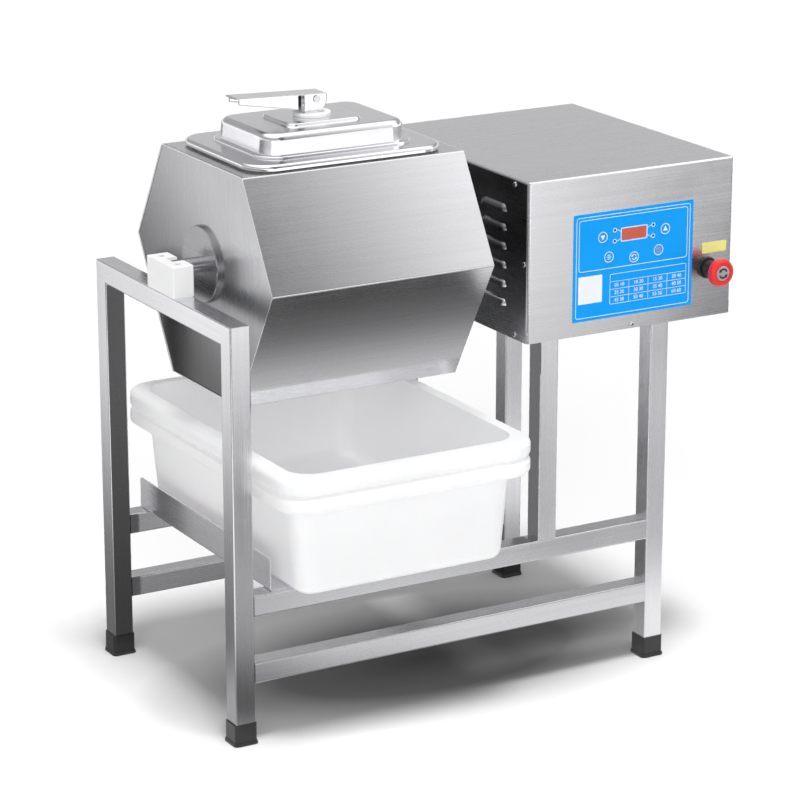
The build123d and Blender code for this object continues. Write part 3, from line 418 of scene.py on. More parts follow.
# Pan head screws of the cabinet: a domed head with a dark cross in its crown, painted shade of its recess
SCREW_HEAD = 4.6 * MM
SCREW_RISE = 2.4 * MM
SCREW_FOOT = 0.25
DOME_STEPS = 6
DOME_FULLNESS = 0.7
CROSS_ARM = 0.52 * SCREW_HEAD
CROSS_HALF = 0.13 * SCREW_HEAD
CROSS_LEVEL = 0.9 * SCREW_RISE
CROSS_DEPTH = 0.12 * SCREW_RISE


def add_screw(name, place):
    """One screw: a dome on a short upright foot, and the cross in its crown."""
    builder = bmesh.new()
    profile = [(0, 0), (SCREW_HEAD, 0), (SCREW_HEAD, SCREW_FOOT * SCREW_RISE)]
    for i in range(1, DOME_STEPS):
        angle = math.radians(90 * i / DOME_STEPS)
        height = SCREW_FOOT + (1 - SCREW_FOOT) * math.sin(angle)
        profile.append((SCREW_HEAD * math.cos(angle) ** DOME_FULLNESS, SCREW_RISE * height))
    profile.append((0, SCREW_RISE))
    add_lathe(builder, profile, place, steps=24)
    make_piece(name, builder, screw_chrome, "machine", smooth=True)
    # The black cross stands for the recess in the crown: painted shade.
    cross = bmesh.new()
    arm = CROSS_ARM
    half = CROSS_HALF
    outline = [
        (half, half), (half, arm), (-half, arm), (-half, half), (-arm, half), (-arm, -half),
        (-half, -half), (-half, -arm), (half, -arm), (half, -half), (arm, -half), (arm, half),
    ]
    add_prism(cross, outline, place @ Matrix.Translation((0, 0, CROSS_LEVEL)), CROSS_DEPTH)
    make_piece(name + "_recess_shade", cross, black_plastic, "machine")


# Places of the end panels' screws: in from the front and back, and down from the top or up from the bottom
TOP_SCREW_IN, TOP_SCREW_DOWN = 40 * MM, 10 * MM
SIDE_SCREW_IN, SIDE_SCREW_UP = 10.5 * MM, 131 * MM
LOW_SCREW_IN, LOW_SCREW_UP = 38 * MM, 8 * MM

# Places of the wrapped cover's screws: along from its left end, and up from the bottom
COVER_SCREWS_ALONG = (40 * MM, 200.5 * MM, 356 * MM)
COVER_SCREW_UP = 6.5 * MM


def end_screws(side, x):
    """Screws of one end panel: along its top, its two upright edges and its bottom."""
    outward = (-1, 0, 0) if side == "left" else (1, 0, 0)
    places = []
    for y, inward in ((CABINET_FRONT, 1), (CABINET_BACK, -1)):
        places.append((y + inward * TOP_SCREW_IN, CABINET_TOP - TOP_SCREW_DOWN))
        places.append((y + inward * SIDE_SCREW_IN, CABINET_BOTTOM + SIDE_SCREW_UP))
        places.append((y + inward * LOW_SCREW_IN, CABINET_BOTTOM + LOW_SCREW_UP))
    for number, (y, z) in enumerate(places):
        add_screw(f"{side}_panel_screw_{number}", facing(x, y, z, (0, 1, 0), outward))


end_screws("left", PANEL_LEFT)
end_screws("right", PANEL_RIGHT)
for number, along in enumerate(COVER_SCREWS_ALONG):
    screw_x = CABINET_LEFT + along
    screw_z = CABINET_BOTTOM + COVER_SCREW_UP
    if number == 1:
        add_screw("front_screw", facing(screw_x, CABINET_FRONT, screw_z, (1, 0, 0), (0, -1, 0)))
    add_screw(f"back_screw_{number}", facing(screw_x, CABINET_BACK, screw_z, (-1, 0, 0), (0, 1, 0)))

# Print on the control panel; places are in millimetres from the cabinet's lower left corner
PRINT = 0.12
LINE = 0.9
THIN_LINE = 0.7
TABLE_LINE = 0.6
DISPLAY_LINE = 1.5
panel_place = front_plane(CABINET_LEFT, OVERLAY_FACE, CABINET_BOTTOM)

# Rounded frames, as left, bottom, right, top and corner radius
OUTER_FRAME = (90, 29, 312, 198, 5)
UPPER_FRAME = (95, 107, 307, 193, 5)
DISPLAY_FRAME = (175.6, 149.1, 227.4, 172.4, 2.5)
BLANK_SQUARE = (95, 53, 141, 99, 1.0)
YELLOW_PLATE = (338, 108, 386, 126, 2.0)
YELLOW_SINK, YELLOW_SHEET = -0.8, 0.5

# Table of plain numbers
TABLE_LEFT, TABLE_RIGHT = 156.0, 306.0
TABLE_BOTTOM, TABLE_TOP = 46.0, 97.0
TABLE_CORNER = 3
TABLE_ROWS = 3
TABLE_COLUMNS = 4
ROW_HEIGHT = 12.6
COLUMN_WIDTH = (TABLE_RIGHT - TABLE_LEFT) / TABLE_COLUMNS
NUMBER_HEIGHT = 8.4
FIRST_STEP = 5
SECOND_STEP = 10

# Indicator lamps, as the lamp's place and the point where its line meets the display's frame
INDICATORS = (
    (164, 170, 175.9, 166.5), (164, 151.5, 175.9, 155), (239, 170, 227.1, 166.5), (239, 151.5, 227.1, 155),
)
LAMP_OUTER, LAMP_INNER, LAMP_LENS = 3.6, 2.6, 1.9
LAMP_LINE_START, LAMP_LINE_BEND, LAMP_LINE_LAP = 3.3, 6.0, 5.8


def outline_band(builder, x0, y0, x1, y1, radius, width=LINE, place=panel_place):
    """A printed line round a rounded rectangle."""
    outer = rounded_box(x0, y0, x1, y1, radius)
    inner = rounded_box(x0 + width, y0 + width, x1 - width, y1 - width, max(radius - width, 0.05))
    add_band(builder, outer, inner, place, PRINT)


def straight_line(builder, x0, y0, x1, y1, width=LINE, place=panel_place):
    """A printed straight line."""
    along = Vector((x1 - x0, y1 - y0)).normalized() * width / 2
    across = Vector((-along.y, along.x))
    outline = [
        (x0 + across.x, y0 + across.y), (x0 - across.x, y0 - across.y),
        (x1 - across.x, y1 - across.y), (x1 + across.x, y1 + across.y),
    ]
    add_prism(builder, outline, place, PRINT)


frame_print = bmesh.new()
outline_band(frame_print, *OUTER_FRAME)
outline_band(frame_print, *UPPER_FRAME)
outline_band(frame_print, TABLE_LEFT, TABLE_BOTTOM, TABLE_RIGHT, TABLE_TOP, TABLE_CORNER, width=THIN_LINE)
for row in range(1, TABLE_ROWS + 1):
    level = TABLE_BOTTOM + row * ROW_HEIGHT
    straight_line(frame_print, TABLE_LEFT, level, TABLE_RIGHT, level, width=TABLE_LINE)
for column in range(1, TABLE_COLUMNS):
    across = TABLE_LEFT + column * COLUMN_WIDTH
    top = TABLE_BOTTOM + TABLE_ROWS * ROW_HEIGHT
    straight_line(frame_print, across, TABLE_BOTTOM, across, top, width=TABLE_LINE)
outline_band(frame_print, *DISPLAY_FRAME, width=DISPLAY_LINE)
for lamp_x, lamp_z, joint_x, joint_z in INDICATORS:
    ring = circle(lamp_x, lamp_z, LAMP_OUTER)
    add_band(frame_print, ring, circle(lamp_x, lamp_z, LAMP_INNER), panel_place, PRINT)
    toward = 1 if lamp_x < joint_x else -1
    start = lamp_x + toward * LAMP_LINE_START
    bend = lamp_x + toward * LAMP_LINE_BEND
    lap = lamp_x + toward * LAMP_LINE_LAP
    straight_line(frame_print, start, lamp_z, bend, lamp_z, width=THIN_LINE)
    straight_line(frame_print, lap, lamp_z, joint_x, joint_z, width=THIN_LINE)
make_piece("panel_frame_print", frame_print, white_ink, "machine")

lamp_print = bmesh.new()
for lamp_x, lamp_z, joint_x, joint_z in INDICATORS:
    add_prism(lamp_print, circle(lamp_x, lamp_z, LAMP_LENS), panel_place, 2 * PRINT)
make_piece("indicator_lenses", lamp_print, lamp_dark, "machine")

white_square = bmesh.new()
add_prism(white_square, rounded_box(*BLANK_SQUARE), panel_place, PRINT)
make_piece("plain_white_square", white_square, white_ink, "machine")

# The numbers of the table, each a mesh made from a text
for row in range(TABLE_ROWS):
    for column in range(TABLE_COLUMNS):
        text = bpy.data.curves.new(f"table_number_{row}_{column}", "FONT")
        first_number = FIRST_STEP * (row * TABLE_COLUMNS + column + 1)
        second_number = SECOND_STEP * (row + column + 1)
        text.body = f"{first_number:02d} {second_number:02d}"
        text.size = NUMBER_HEIGHT
        text.align_x = "CENTER"
        text.align_y = "CENTER"
        text.extrude = PRINT / 2
        holder = bpy.data.objects.new(text.name, text)
        bpy.context.scene.collection.objects.link(holder)
        bpy.context.view_layer.update()
        mesh = bpy.data.meshes.new_from_object(holder)
        bpy.data.objects.remove(holder)
        number_x = TABLE_LEFT + COLUMN_WIDTH * (column + 0.5)
        number_z = TABLE_BOTTOM + ROW_HEIGHT * (TABLE_ROWS - 0.5 - row)
        mesh.transform(panel_place @ Matrix.Translation((number_x, number_z, PRINT / 2)))
        mesh.materials.clear()
        mesh.materials.append(white_ink)
        piece = bpy.data.objects.new(f"table_number_{row}_{column}", mesh)
        bpy.context.scene.collection.objects.link(piece)
        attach(piece, "machine")

# Signs on the keys, in millimetres
KEY_RING_OUTER, KEY_RING_INNER = 9.1, 8.0
ARROW_HALF, ARROW_FOOT, ARROW_TIP = 4.4, 3.0, 5.0
LEFT_KEY_LINES = ((3.2, 2.4), (0, 4.0), (-3.2, 2.4))
SIGN_LINE = 1.2
TURN_STARTS = (25, 205)
TURN_RADIUS, TURN_SWEEP = 4.2, 115
TURN_TIP = [(2.4, 0), (6.0, 0), (4.2, 3.0)]
POWER_RADIUS, POWER_LINE = 4.0, 1.3
POWER_START, POWER_END = 125, 415
POWER_STEM = (0, 1.0, 0, 5.8)


def middle_front(name):
    """The middle of a solid's front, as a plane in millimetres."""
    low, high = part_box(name)
    return front_plane((low[0] + high[0]) / 2, low[1], (low[2] + high[2]) / 2)


def arc_band(builder, radius, start, end, width, place, steps=14):
    """Part of a ring, from one angle to another in degrees."""
    outer = []
    inner = []
    for i in range(steps + 1):
        angle = math.radians(start + (end - start) * i / steps)
        outer.append(((radius + width / 2) * math.cos(angle), (radius + width / 2) * math.sin(angle)))
        inner.append(((radius - width / 2) * math.cos(angle), (radius - width / 2) * math.sin(angle)))
    add_prism(builder, outer + inner[::-1], place, PRINT)


def key_ring(builder, place):
    """The pale ring printed near a key's edge."""
    add_band(builder, circle(0, 0, KEY_RING_OUTER), circle(0, 0, KEY_RING_INNER), place, PRINT)


for name, direction in (("key_down", -1), ("key_up", 1)):
    sign = bmesh.new()
    place = middle_front(name)
    key_ring(sign, place)
    foot = -ARROW_FOOT * direction
    triangle = [(-ARROW_HALF, foot), (ARROW_HALF, foot), (0, ARROW_TIP * direction)]
    add_prism(sign, triangle[::direction], place, PRINT)
    make_piece(f"{name}_sign", sign, white_ink, name)

left_sign = bmesh.new()
left_place = middle_front("key_left")
key_ring(left_sign, left_place)
for level, half in LEFT_KEY_LINES:
    straight_line(left_sign, -half, level, half, level, width=SIGN_LINE, place=left_place)
make_piece("key_left_sign", left_sign, white_ink, "key_left")

middle_sign = bmesh.new()
middle_place = middle_front("key_middle")
key_ring(middle_sign, middle_place)
for start in TURN_STARTS:
    arc_band(middle_sign, TURN_RADIUS, start, start + TURN_SWEEP, SIGN_LINE, middle_place)
    tip_place = middle_place @ Matrix.Rotation(math.radians(start + TURN_SWEEP), 4, "Z")
    add_prism(middle_sign, TURN_TIP, tip_place, PRINT)
make_piece("key_middle_sign", middle_sign, white_ink, "key_middle")

right_ring = bmesh.new()
right_place = middle_front("key_right")
key_ring(right_ring, right_place)
make_piece("key_right_ring", right_ring, white_ink, "key_right")
right_sign = bmesh.new()
arc_band(right_sign, POWER_RADIUS, POWER_START, POWER_END, POWER_LINE, right_place, steps=24)
straight_line(right_sign, *POWER_STEM, width=POWER_LINE, place=right_place)
make_piece("key_right_sign", right_sign, orange_ink, "key_right")

# Unlit digits on the display's window, in millimetres from its lower left corner
DIGITS = 4
DIGIT_LEFT, DIGIT_PITCH, DIGIT_WIDTH = 4.0, 10.4, 7.4
BAR_START, BAR_END = 1.0, 6.4
BAR_LEVELS = (3.6, 9.2, 14.8)
STROKE_BOTTOMS, STROKE_LENGTH = (4.4, 10.0), 4.0
SEGMENT_LINE = 1.1
display_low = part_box("display_window")[0]
display_place = front_plane(*display_low)
digits = bmesh.new()
for digit in range(DIGITS):
    left = DIGIT_LEFT + DIGIT_PITCH * digit
    for level in BAR_LEVELS:
        bar = (left + BAR_START, level, left + BAR_END, level)
        straight_line(digits, *bar, width=SEGMENT_LINE, place=display_place)
    for edge in (left, left + DIGIT_WIDTH):
        for bottom in STROKE_BOTTOMS:
            stroke = (edge, bottom, edge, bottom + STROKE_LENGTH)
            straight_line(digits, *stroke, width=SEGMENT_LINE, place=display_place)
make_piece("display_digits", digits, segment_dim, "machine")

# Bare yellow plate above the stop button
yellow = bmesh.new()
yellow_place = panel_place @ Matrix.Translation((0, 0, YELLOW_SINK))
add_prism(yellow, rounded_box(*YELLOW_PLATE), yellow_place, YELLOW_SHEET)
make_piece("bare_yellow_plate", yellow, yellow_plate, "machine")

# Stop button: silver insert with two curved arrows, in millimetres
INSERT_RADIUS, INSERT_SINK, INSERT_SIDE, INSERT_RISE, INSERT_BEVEL = 12.2, -0.3, 0.25, 0.6, 0.6
RELEASE_STARTS = (20, 200)
RELEASE_RADIUS, RELEASE_SWEEP, RELEASE_LINE = 7.2, 110, 3.0
RELEASE_TIP = [(3.6, 0), (10.8, 0), (7.2, 5.2)]
stop_place = middle_front("estop_head")
insert = bmesh.new()
insert_profile = [
    (0, INSERT_SINK), (INSERT_RADIUS, INSERT_SINK), (INSERT_RADIUS, INSERT_SIDE),
    (INSERT_RADIUS - INSERT_BEVEL, INSERT_RISE), (0, INSERT_RISE),
]
add_lathe(insert, insert_profile, stop_place, steps=40)
make_piece("stop_insert", insert, silver_insert, "estop_knob")
arrows = bmesh.new()
arrow_place = stop_place @ Matrix.Translation((0, 0, INSERT_RISE))
for start in RELEASE_STARTS:
    arc_band(arrows, RELEASE_RADIUS, start, start + RELEASE_SWEEP, RELEASE_LINE, arrow_place)
    tip_place = arrow_place @ Matrix.Rotation(math.radians(start + RELEASE_SWEEP), 4, "Z")
    add_prism(arrows, RELEASE_TIP, tip_place, PRINT)
make_piece("stop_arrows", arrows, black_plastic, "estop_knob")

# Rounded edge of the drum's shell at both ends, lit up by a painted highlight, and the seam beside it, a dark
# band of painted shade
SHELL_LOW, SHELL_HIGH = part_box("drum_shell")
DRUM_RADIUS = (SHELL_HIGH[1] - SHELL_LOW[1]) / 2
DRUM_TOP = SHELL_HIGH[2] - AXIS_Z
DRUM_DROP = AXIS_Z - SHELL_LOW[2]
DRUM_BEND = 4 * MM
BEAD_RADIUS = 1.1 * MM
BEAD_SECTION = 8
BEAD_SINK = 0.8
BEAD_IN = 0.9 * MM
SEAM_IN = 2.2 * MM
SEAM_WIDTH = 10 * PRINT * MM
SEAM_PROUD, SEAM_SUNK = -0.1 * MM, 0.3 * MM
FLANK_LEAN = math.tan(math.radians(30))
TOP_HALF = DRUM_RADIUS - DRUM_TOP * FLANK_LEAN
LOW_HALF = DRUM_RADIUS - DRUM_DROP * FLANK_LEAN
HEXAGON = [
    (DRUM_RADIUS, 0), (TOP_HALF, DRUM_TOP), (-TOP_HALF, DRUM_TOP),
    (-DRUM_RADIUS, 0), (-LOW_HALF, -DRUM_DROP), (LOW_HALF, -DRUM_DROP),
]


def round_corners(points, radius, steps=5):
    """The same outline with every corner rounded."""
    rounded = []
    for i, corner in enumerate(points):
        here = Vector(corner)
        before = (Vector(points[i - 1]) - here).normalized()
        after = (Vector(points[(i + 1) % len(points)]) - here).normalized()
        half_angle = before.angle(after) / 2
        centre = here + (before + after).normalized() * radius / math.sin(half_angle)
        first = here + before * radius / math.tan(half_angle) - centre
        last = here + after * radius / math.tan(half_angle) - centre
        for step in range(steps + 1):
            spoke = first.lerp(last, step / steps).normalized() * radius
            rounded.append(tuple(centre + spoke))
    return rounded


def drawn_in(points, amount):
    """An outline drawn in towards the axis by an amount, along its own normals."""
    result = []
    for i, point in enumerate(points):
        along = (Vector(points[(i + 1) % len(points)]) - Vector(points[i - 1])).normalized()
        result.append(tuple(Vector(point) + Vector((-along.y, along.x)) * amount))
    return result


def edge_bead(name, x, radius):
    """A thin rounded bead along the drum's outline, in a finish that paints a highlight on it."""
    builder = bmesh.new()
    path = drawn_in(round_corners(HEXAGON, DRUM_BEND), BEAD_SINK * radius)
    rings = []
    for i, (y, z) in enumerate(path):
        along = (Vector(path[(i + 1) % len(path)]) - Vector(path[i - 1])).normalized()
        ring = []
        for j in range(BEAD_SECTION):
            turn = 2 * math.pi * j / BEAD_SECTION
            out = radius * math.cos(turn)
            side = radius * math.sin(turn)
            ring.append(builder.verts.new((x + side, AXIS_Y + y + along.y * out, AXIS_Z + z - along.x * out)))
        rings.append(ring)
    join_rings(builder, rings)
    make_piece(name, builder, bead_highlight_steel, "drum", smooth=True)


edge_bead("drum_left_edge", SHELL_LOW[0] + BEAD_IN, BEAD_RADIUS)
edge_bead("drum_right_edge", SHELL_HIGH[0] - BEAD_IN, BEAD_RADIUS)
# The seam is a thin dark band: painted shade of a groove.
seam = bmesh.new()
seam_outer = drawn_in(round_corners(HEXAGON, DRUM_BEND), SEAM_PROUD)
seam_inner = drawn_in(round_corners(HEXAGON, DRUM_BEND), SEAM_SUNK)
seam_place = facing(SHELL_LOW[0] + SEAM_IN, AXIS_Y, AXIS_Z, (0, 1, 0), (1, 0, 0))
add_band(seam, seam_outer, seam_inner, seam_place, SEAM_WIDTH)
make_piece("drum_left_seam", seam, seam_shade, "drum")

# Weld beads where the hub discs meet the drum's end plates
WELD_STEPS = 120
WELD_SECTION = 6
WELD_THICKNESS = 0.9 * MM
WELD_FLATNESS = 0.7
RIPPLES, RIPPLE_HEIGHT = 24, 0.12


def weld_ring(name, x, radius, thickness, direction):
    """A low bead round a disc, with small ripples."""
    builder = bmesh.new()
    rings = []
    for i in range(WELD_STEPS):
        angle = 2 * math.pi * i / WELD_STEPS
        ripple = 1 + RIPPLE_HEIGHT * math.sin(RIPPLES * angle)
        ring = []
        for j in range(WELD_SECTION):
            turn = 2 * math.pi * j / WELD_SECTION
            reach = radius + thickness * ripple * math.cos(turn)
            ring.append(builder.verts.new((
                x + direction * thickness * ripple * math.sin(turn) * WELD_FLATNESS,
                AXIS_Y + reach * math.cos(angle),
                AXIS_Z + reach * math.sin(angle),
            )))
        rings.append(ring)
    join_rings(builder, rings)
    make_piece(name, builder, hub_steel, "drum", smooth=True)


LEFT_END_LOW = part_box("drum_left_end")[0]
RIGHT_END_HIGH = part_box("drum_right_end")[1]
HUB_RADIUS = (HUB_HIGH[1] - HUB_LOW[1]) / 2
weld_ring("left_hub_weld", LEFT_END_LOW[0], HUB_RADIUS, WELD_THICKNESS, -1)
weld_ring("right_hub_weld", RIGHT_END_HIGH[0], HUB_RADIUS, WELD_THICKNESS, 1)


# Stage helpers
def flat_sheet(name, corners):
    """A stage sheet with four corners."""
    mesh = bpy.data.meshes.new(name)
    mesh.from_pydata(corners, [], [(0, 1, 2, 3)])
    sheet = bpy.data.objects.new(name, mesh)
    bpy.context.scene.collection.objects.link(sheet)
    return sheet


def side_ramp(tree, place, direction, stops):
    """Brightness by the distance along a level direction, as (distance, brightness) stops."""
    along = tree.nodes.new("ShaderNodeVectorMath")
    along.operation = "DOT_PRODUCT"
    along.inputs[1].default_value = direction
    tree.links.new(place, along.inputs[0])
    first, last = stops[0][0], stops[-1][0]
    scaled = tree.nodes.new("ShaderNodeMapRange")
    scaled.inputs["From Min"].default_value = first
    scaled.inputs["From Max"].default_value = last
    tree.links.new(along.outputs["Value"], scaled.inputs["Value"])
    shares = [((at - first) / (last - first), value) for at, value in stops]
    return grey_ramp(tree, scaled.outputs["Result"], shares)


def grey_ramp(tree, value, stops):
    """A grey ramp with stops as (position, brightness)."""
    ramp = tree.nodes.new("ShaderNodeValToRGB")
    elements = ramp.color_ramp.elements
    while len(elements) < len(stops):
        elements.new(0.5)
    for element, (position, brightness) in zip(elements, stops):
        element.position = position
        element.color = (brightness, brightness, brightness, 1)
    tree.links.new(value, ramp.inputs["Fac"])
    return ramp.outputs["Color"]


def blend_values(tree, first, second, operation):
    """Join two grey values with a maths operation."""
    node = tree.nodes.new("ShaderNodeMath")
    node.operation = operation
    tree.links.new(first, node.inputs[0])
    tree.links.new(second, node.inputs[1])
    return node.outputs["Value"]


# Level directions on the floor: the way the front faces mirror the camera's view, and across it
FLOOR_ALONG = (0.497, -0.868, 0)
FLOOR_ACROSS = (0.868, 0.497, 0)


def glow_zone(tree, place, along_stops, across_stops):
    """Brightness that the steel mirrors from one zone of the floor."""
    along = side_ramp(tree, place, FLOOR_ALONG, along_stops)
    across = side_ramp(tree, place, FLOOR_ACROSS, across_stops)
    return blend_values(tree, along, across, "MULTIPLY")


def mix_zones(tree, place, near, far, start, end):
    """Go over from one zone of the floor to the next between two distances."""
    share = side_ramp(tree, place, FLOOR_ALONG, [(start, 0.0), (end, 1.0)])
    node = tree.nodes.new("ShaderNodeMix")
    tree.links.new(share, node.inputs[0])
    tree.links.new(near, node.inputs[2])
    tree.links.new(far, node.inputs[3])
    return node.outputs[0]


# Floor: pale, with a painted shadow under the machine, and zones of brightness that only mirrored rays see
FLOOR_HALF = 40.0
FLOOR_DROP = -0.0006
SHADE_PLACE = (-0.01, -0.025, 0)
SHADE_REACH = (0.54, 0.28, 1)
SHADE_STOPS = [(0.0, 0.11), (0.5, 0.22), (0.8, 0.74), (1.0, 1.0)]
LEFT_TO_FRONT = (-0.1, 0.1)
LOW_TO_HIGH = (2.1, 2.25)
floor = flat_sheet("studio_floor", [
    (-FLOOR_HALF, -FLOOR_HALF, FLOOR_DROP), (FLOOR_HALF, -FLOOR_HALF, FLOOR_DROP),
    (FLOOR_HALF, FLOOR_HALF, FLOOR_DROP), (-FLOOR_HALF, FLOOR_HALF, FLOOR_DROP),
])
floor_material, floor_tree, floor_shader = start_material("pale_floor")
floor_shade = streak_noise(floor_tree, (0.8, 0.8, 0.8), detail=3.0)
floor_colour = tint(floor_tree, floor_shade, (0.955, 0.955, 0.955), (0.965, 0.965, 0.965))
floor_shader.inputs["Roughness"].default_value = 0.7
floor_shader.inputs["Specular IOR Level"].default_value = 0.0
floor_place = floor_tree.nodes.new("ShaderNodeTexCoord").outputs["Object"]
# The machine's shadow is painted into the floor's colour, darkest under the middle of the machine.
under_machine = floor_tree.nodes.new("ShaderNodeMapping")
under_machine.vector_type = "TEXTURE"
under_machine.inputs["Location"].default_value = SHADE_PLACE
under_machine.inputs["Scale"].default_value = SHADE_REACH
floor_tree.links.new(floor_place, under_machine.inputs["Vector"])
reach = floor_tree.nodes.new("ShaderNodeVectorMath")
reach.operation = "LENGTH"
floor_tree.links.new(under_machine.outputs["Vector"], reach.inputs[0])
under_shade = grey_ramp(floor_tree, reach.outputs["Value"], SHADE_STOPS)
floor_shaded = floor_tree.nodes.new("ShaderNodeVectorMath")
floor_shaded.operation = "MULTIPLY"
floor_tree.links.new(floor_colour, floor_shaded.inputs[0])
floor_tree.links.new(under_shade, floor_shaded.inputs[1])
floor_tree.links.new(floor_shaded.outputs["Vector"], floor_shader.inputs["Base Color"])

# Zones of the floor by what mirrors them, each with stops along and across the floor
left_faces = glow_zone(
    floor_tree, floor_place,
    [(-4.5, 1.3), (-3.0, 1.1), (-2.3, 0.95), (-1.6, 0.6), (-1.0, 0.32), (0.3, 0.25)],
    [(-3.2, 0.08), (-2.0, 0.3), (-1.3, 1.2), (-0.5, 1.15), (-0.2, 1.05), (0.0, 0.60), (0.3, 0.35),
     (0.9, 0.3)])
low_fronts = glow_zone(
    floor_tree, floor_place,
    [(-0.2, 0.25), (0.25, 0.32), (0.4, 0.85), (0.65, 0.92), (0.85, 0.50), (1.1, 0.42), (1.5, 0.48),
     (2.0, 0.62), (2.3, 0.68)],
    [(-3.2, 0.08), (-2.0, 0.3), (-1.3, 0.8), (-0.47, 0.8), (-0.38, 1.1), (0.0, 1.1), (0.3, 1.2), (0.9, 1.1)])
high_fronts = glow_zone(
    floor_tree, floor_place,
    [(2.0, 0.74), (2.3, 0.78), (3.1, 1.28), (4.6, 1.6)],
    [(-1.0, 1.2), (-0.5, 1.15), (-0.1, 1.12), (0.1, 0.84), (0.3, 0.31), (0.9, 0.22)])
tube_corners = glow_zone(
    floor_tree, floor_place,
    [(-0.6, 0.0), (-0.25, 1.6), (0.25, 1.6), (0.6, 0.0)],
    [(-3.0, 0.0), (-2.85, 1.0), (-1.0, 1.0), (-0.75, 0.0)])
leg_foot = glow_zone(
    floor_tree, floor_place,
    [(-0.5, 0.0), (-0.25, 0.55), (0.0, 0.55), (0.1, 0.0)],
    [(-0.75, 0.0), (-0.62, 1.0), (-0.45, 1.0), (-0.36, 0.0)])
low_zones = mix_zones(floor_tree, floor_place, left_faces, low_fronts, *LEFT_TO_FRONT)
all_zones = mix_zones(floor_tree, floor_place, low_zones, high_fronts, *LOW_TO_HIGH)
lit_corners = blend_values(floor_tree, all_zones, tube_corners, "ADD")
mirrored = blend_values(floor_tree, lit_corners, leg_foot, "ADD")

# Mirrored rays see the zones, all others the pale floor
floor_glow = floor_tree.nodes.new("ShaderNodeEmission")
floor_tree.links.new(mirrored, floor_glow.inputs["Color"])
floor_ray = floor_tree.nodes.new("ShaderNodeLightPath")
floor_mix = floor_tree.nodes.new("ShaderNodeMixShader")
floor_tree.links.new(floor_ray.outputs["Is Glossy Ray"], floor_mix.inputs["Fac"])
floor_tree.links.new(floor_shader.outputs["BSDF"], floor_mix.inputs[1])
floor_tree.links.new(floor_glow.outputs["Emission"], floor_mix.inputs[2])
floor_tree.links.new(floor_mix.outputs["Shader"], floor_tree.nodes["Material Output"].inputs["Surface"])
floor.data.materials.append(floor_material)


def seen_by_steel(sheet, stops):
    """Make a sheet glow with a grey that changes along it, and hide it from all but mirrored rays."""
    material, tree, shader = start_material(sheet.name + "_grey")
    tree.nodes.remove(shader)
    place = tree.nodes.new("ShaderNodeSeparateXYZ")
    tree.links.new(tree.nodes.new("ShaderNodeTexCoord").outputs["Generated"], place.inputs["Vector"])
    glow = tree.nodes.new("ShaderNodeEmission")
    tree.links.new(grey_ramp(tree, place.outputs["X"], stops), glow.inputs["Color"])
    tree.links.new(glow.outputs["Emission"], tree.nodes["Material Output"].inputs["Surface"])
    sheet.data.materials.append(material)
    sheet.visible_camera = False
    sheet.visible_diffuse = False
    sheet.visible_shadow = False
    sheet.visible_transmission = False


def level_corners(half_x, half_y):
    """Corners of a level sheet about its own middle."""
    return [(-half_x, -half_y, 0), (half_x, -half_y, 0), (half_x, half_y, 0), (-half_x, half_y, 0)]


# A card that the drum's upper front mirrors, off from the middle of that face by a distance
CARD_FROM = Vector((-0.19, -0.12, 0.81))
CARD_DIRECTION = Vector((0.475, -0.668, 0.572))
CARD_DISTANCE = 0.9
CARD_HALVES = (0.7, 0.5)
card = flat_sheet("gradient_card", level_corners(*CARD_HALVES))
card.location = CARD_FROM + CARD_DISTANCE * CARD_DIRECTION
card.rotation_euler = (-CARD_DIRECTION).to_track_quat("Z", "Y").to_euler()
seen_by_steel(card, [(0.0, 1.9), (0.35, 1.25), (0.66, 0.19), (1.0, 0.05)])

# A level dark flag that the drum's lower front mirrors, darkest at its front
FLAG_PLACE = (-0.145, -0.211, 0.53)
FLAG_HALVES = (0.1, 0.23)
flag = flat_sheet("drum_flag", level_corners(*FLAG_HALVES))
flag.location = FLAG_PLACE
flag.rotation_euler = (0, 0, math.radians(90))
seen_by_steel(flag, [(0.0, 0.04), (0.32, 0.06), (0.64, 0.20), (0.97, 0.60)])

# Dark flags close in front of two posts, which would mirror the white tubs otherwise
LEG_LOW, LEG_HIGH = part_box("back_left_leg")
POST_LOW, POST_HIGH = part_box("front_mid_post")
FLAG_GAP = 10 * MM
LEG_FLAG_BOTTOM, LEG_FLAG_TOP, LEG_FLAG_GREY = 0.02, 0.65, 0.12
POST_FLAG_GREY = 0.18
flag_y = LEG_LOW[1] - FLAG_GAP
flag_right = LEG_HIGH[0] + 2 * FLAG_GAP
leg_flag = flat_sheet("leg_flag", [
    (LEG_LOW[0], flag_y, LEG_FLAG_BOTTOM), (flag_right, flag_y, LEG_FLAG_BOTTOM),
    (flag_right, flag_y, LEG_FLAG_TOP), (LEG_LOW[0], flag_y, LEG_FLAG_TOP),
])
seen_by_steel(leg_flag, [(0.0, LEG_FLAG_GREY), (1.0, LEG_FLAG_GREY)])
flag_x = POST_LOW[0] - FLAG_GAP
flag_back = POST_HIGH[1] + 3 * FLAG_GAP
post_flag = flat_sheet("post_flag", [
    (flag_x, POST_LOW[1], POST_LOW[2]), (flag_x, flag_back, POST_LOW[2]),
    (flag_x, flag_back, POST_HIGH[2]), (flag_x, POST_LOW[1], POST_HIGH[2]),
])
seen_by_steel(post_flag, [(0.0, POST_FLAG_GREY), (1.0, POST_FLAG_GREY)])


# Lamps, as strength, angle in degrees and the way they shine
OVERHEAD_LIGHT = (2.08, 14, (0.0, 0.20, -1.0))
FRONT_LIGHT = (0.84, 40, (0.45, 0.80, -0.42))

# The sky's even light, and the greys that steel mirrors from it, by height above the horizon
SOFT_STRENGTH = 0.31
SKY_STOPS = [(0.0, 1.5), (0.14, 0.75), (0.28, 0.41), (0.5, 0.35), (0.72, 1.0), (1.0, 1.8)]


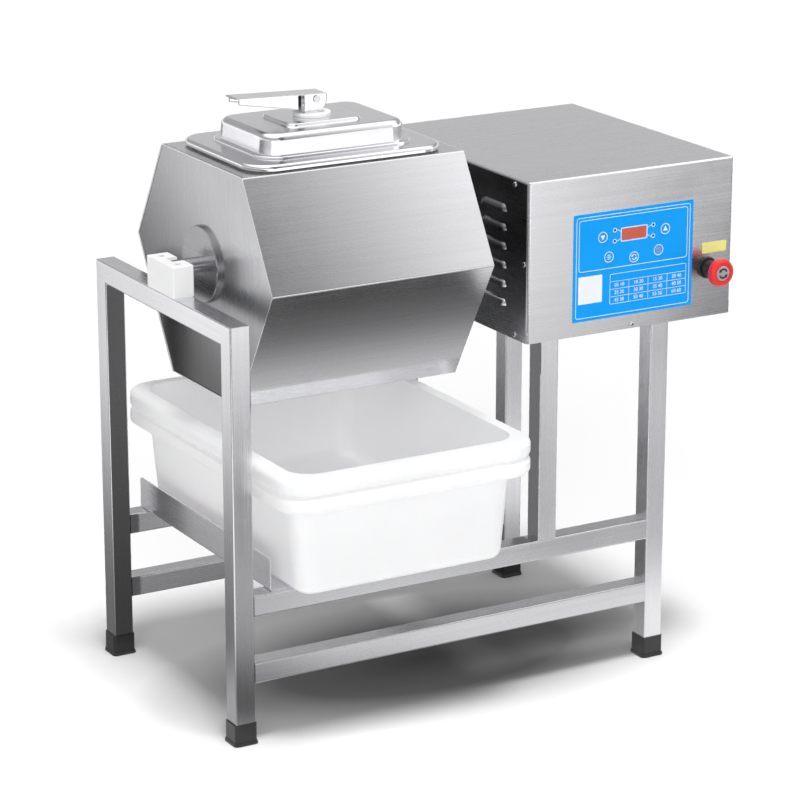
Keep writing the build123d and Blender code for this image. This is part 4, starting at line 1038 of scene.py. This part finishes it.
def add_sun(name, strength, angle, toward):
    """A broad, soft sun that shines along a direction and isn't seen in the steel."""
    light = bpy.data.lights.new(name, "SUN")
    light.energy = strength
    light.angle = math.radians(angle)
    lamp = bpy.data.objects.new(name, light)
    lamp.rotation_euler = Vector(toward).to_track_quat("-Z", "Y").to_euler()
    lamp.visible_glossy = False
    bpy.context.scene.collection.objects.link(lamp)


add_sun("overhead_light", *OVERHEAD_LIGHT)
add_sun("front_light", *FRONT_LIGHT)

world = bpy.data.worlds.new("studio")
bpy.context.scene.world = world
world.use_nodes = True
sky = world.node_tree
sky.nodes.clear()
ray = sky.nodes.new("ShaderNodeLightPath")
sky_direction = sky.nodes.new("ShaderNodeTexCoord")
sky_parts = sky.nodes.new("ShaderNodeSeparateXYZ")
sky.links.new(sky_direction.outputs["Generated"], sky_parts.inputs["Vector"])
sky_grey = grey_ramp(sky, sky_parts.outputs["Z"], SKY_STOPS)
soft_light = sky.nodes.new("ShaderNodeBackground")
soft_light.inputs["Color"].default_value = (1, 1, 1, 1)
soft_light.inputs["Strength"].default_value = SOFT_STRENGTH
studio_walls = sky.nodes.new("ShaderNodeBackground")
sky.links.new(sky_grey, studio_walls.inputs["Color"])
white_ground = sky.nodes.new("ShaderNodeBackground")
white_ground.inputs["Color"].default_value = (1, 1, 1, 1)
first_mix = sky.nodes.new("ShaderNodeMixShader")
second_mix = sky.nodes.new("ShaderNodeMixShader")
sky_output = sky.nodes.new("ShaderNodeOutputWorld")
sky.links.new(ray.outputs["Is Glossy Ray"], first_mix.inputs["Fac"])
sky.links.new(soft_light.outputs["Background"], first_mix.inputs[1])
sky.links.new(studio_walls.outputs["Background"], first_mix.inputs[2])
sky.links.new(ray.outputs["Is Camera Ray"], second_mix.inputs["Fac"])
sky.links.new(first_mix.outputs["Shader"], second_mix.inputs[1])
sky.links.new(white_ground.outputs["Background"], second_mix.inputs[2])
sky.links.new(second_mix.outputs["Shader"], sky_output.inputs["Surface"])

# Camera as fitted to the photograph, looking down and to the right
CAMERA_PLACE = (-2.60575, -4.467, 2.033)
CAMERA_LENS = 145.67
LOOK_DOWN = 17.04
LOOK_RIGHT = 29.80
camera_data = bpy.data.cameras.new("camera")
camera_data.sensor_width = 36.0
camera_data.lens = CAMERA_LENS
camera_data.clip_end = 200.0
camera = bpy.data.objects.new("camera", camera_data)
camera.location = CAMERA_PLACE
camera.rotation_euler = (math.radians(90 - LOOK_DOWN), 0.0, math.radians(-LOOK_RIGHT))
bpy.context.scene.collection.objects.link(camera)
bpy.context.scene.camera = camera
bpy.context.scene.view_settings.view_transform = "Standard"
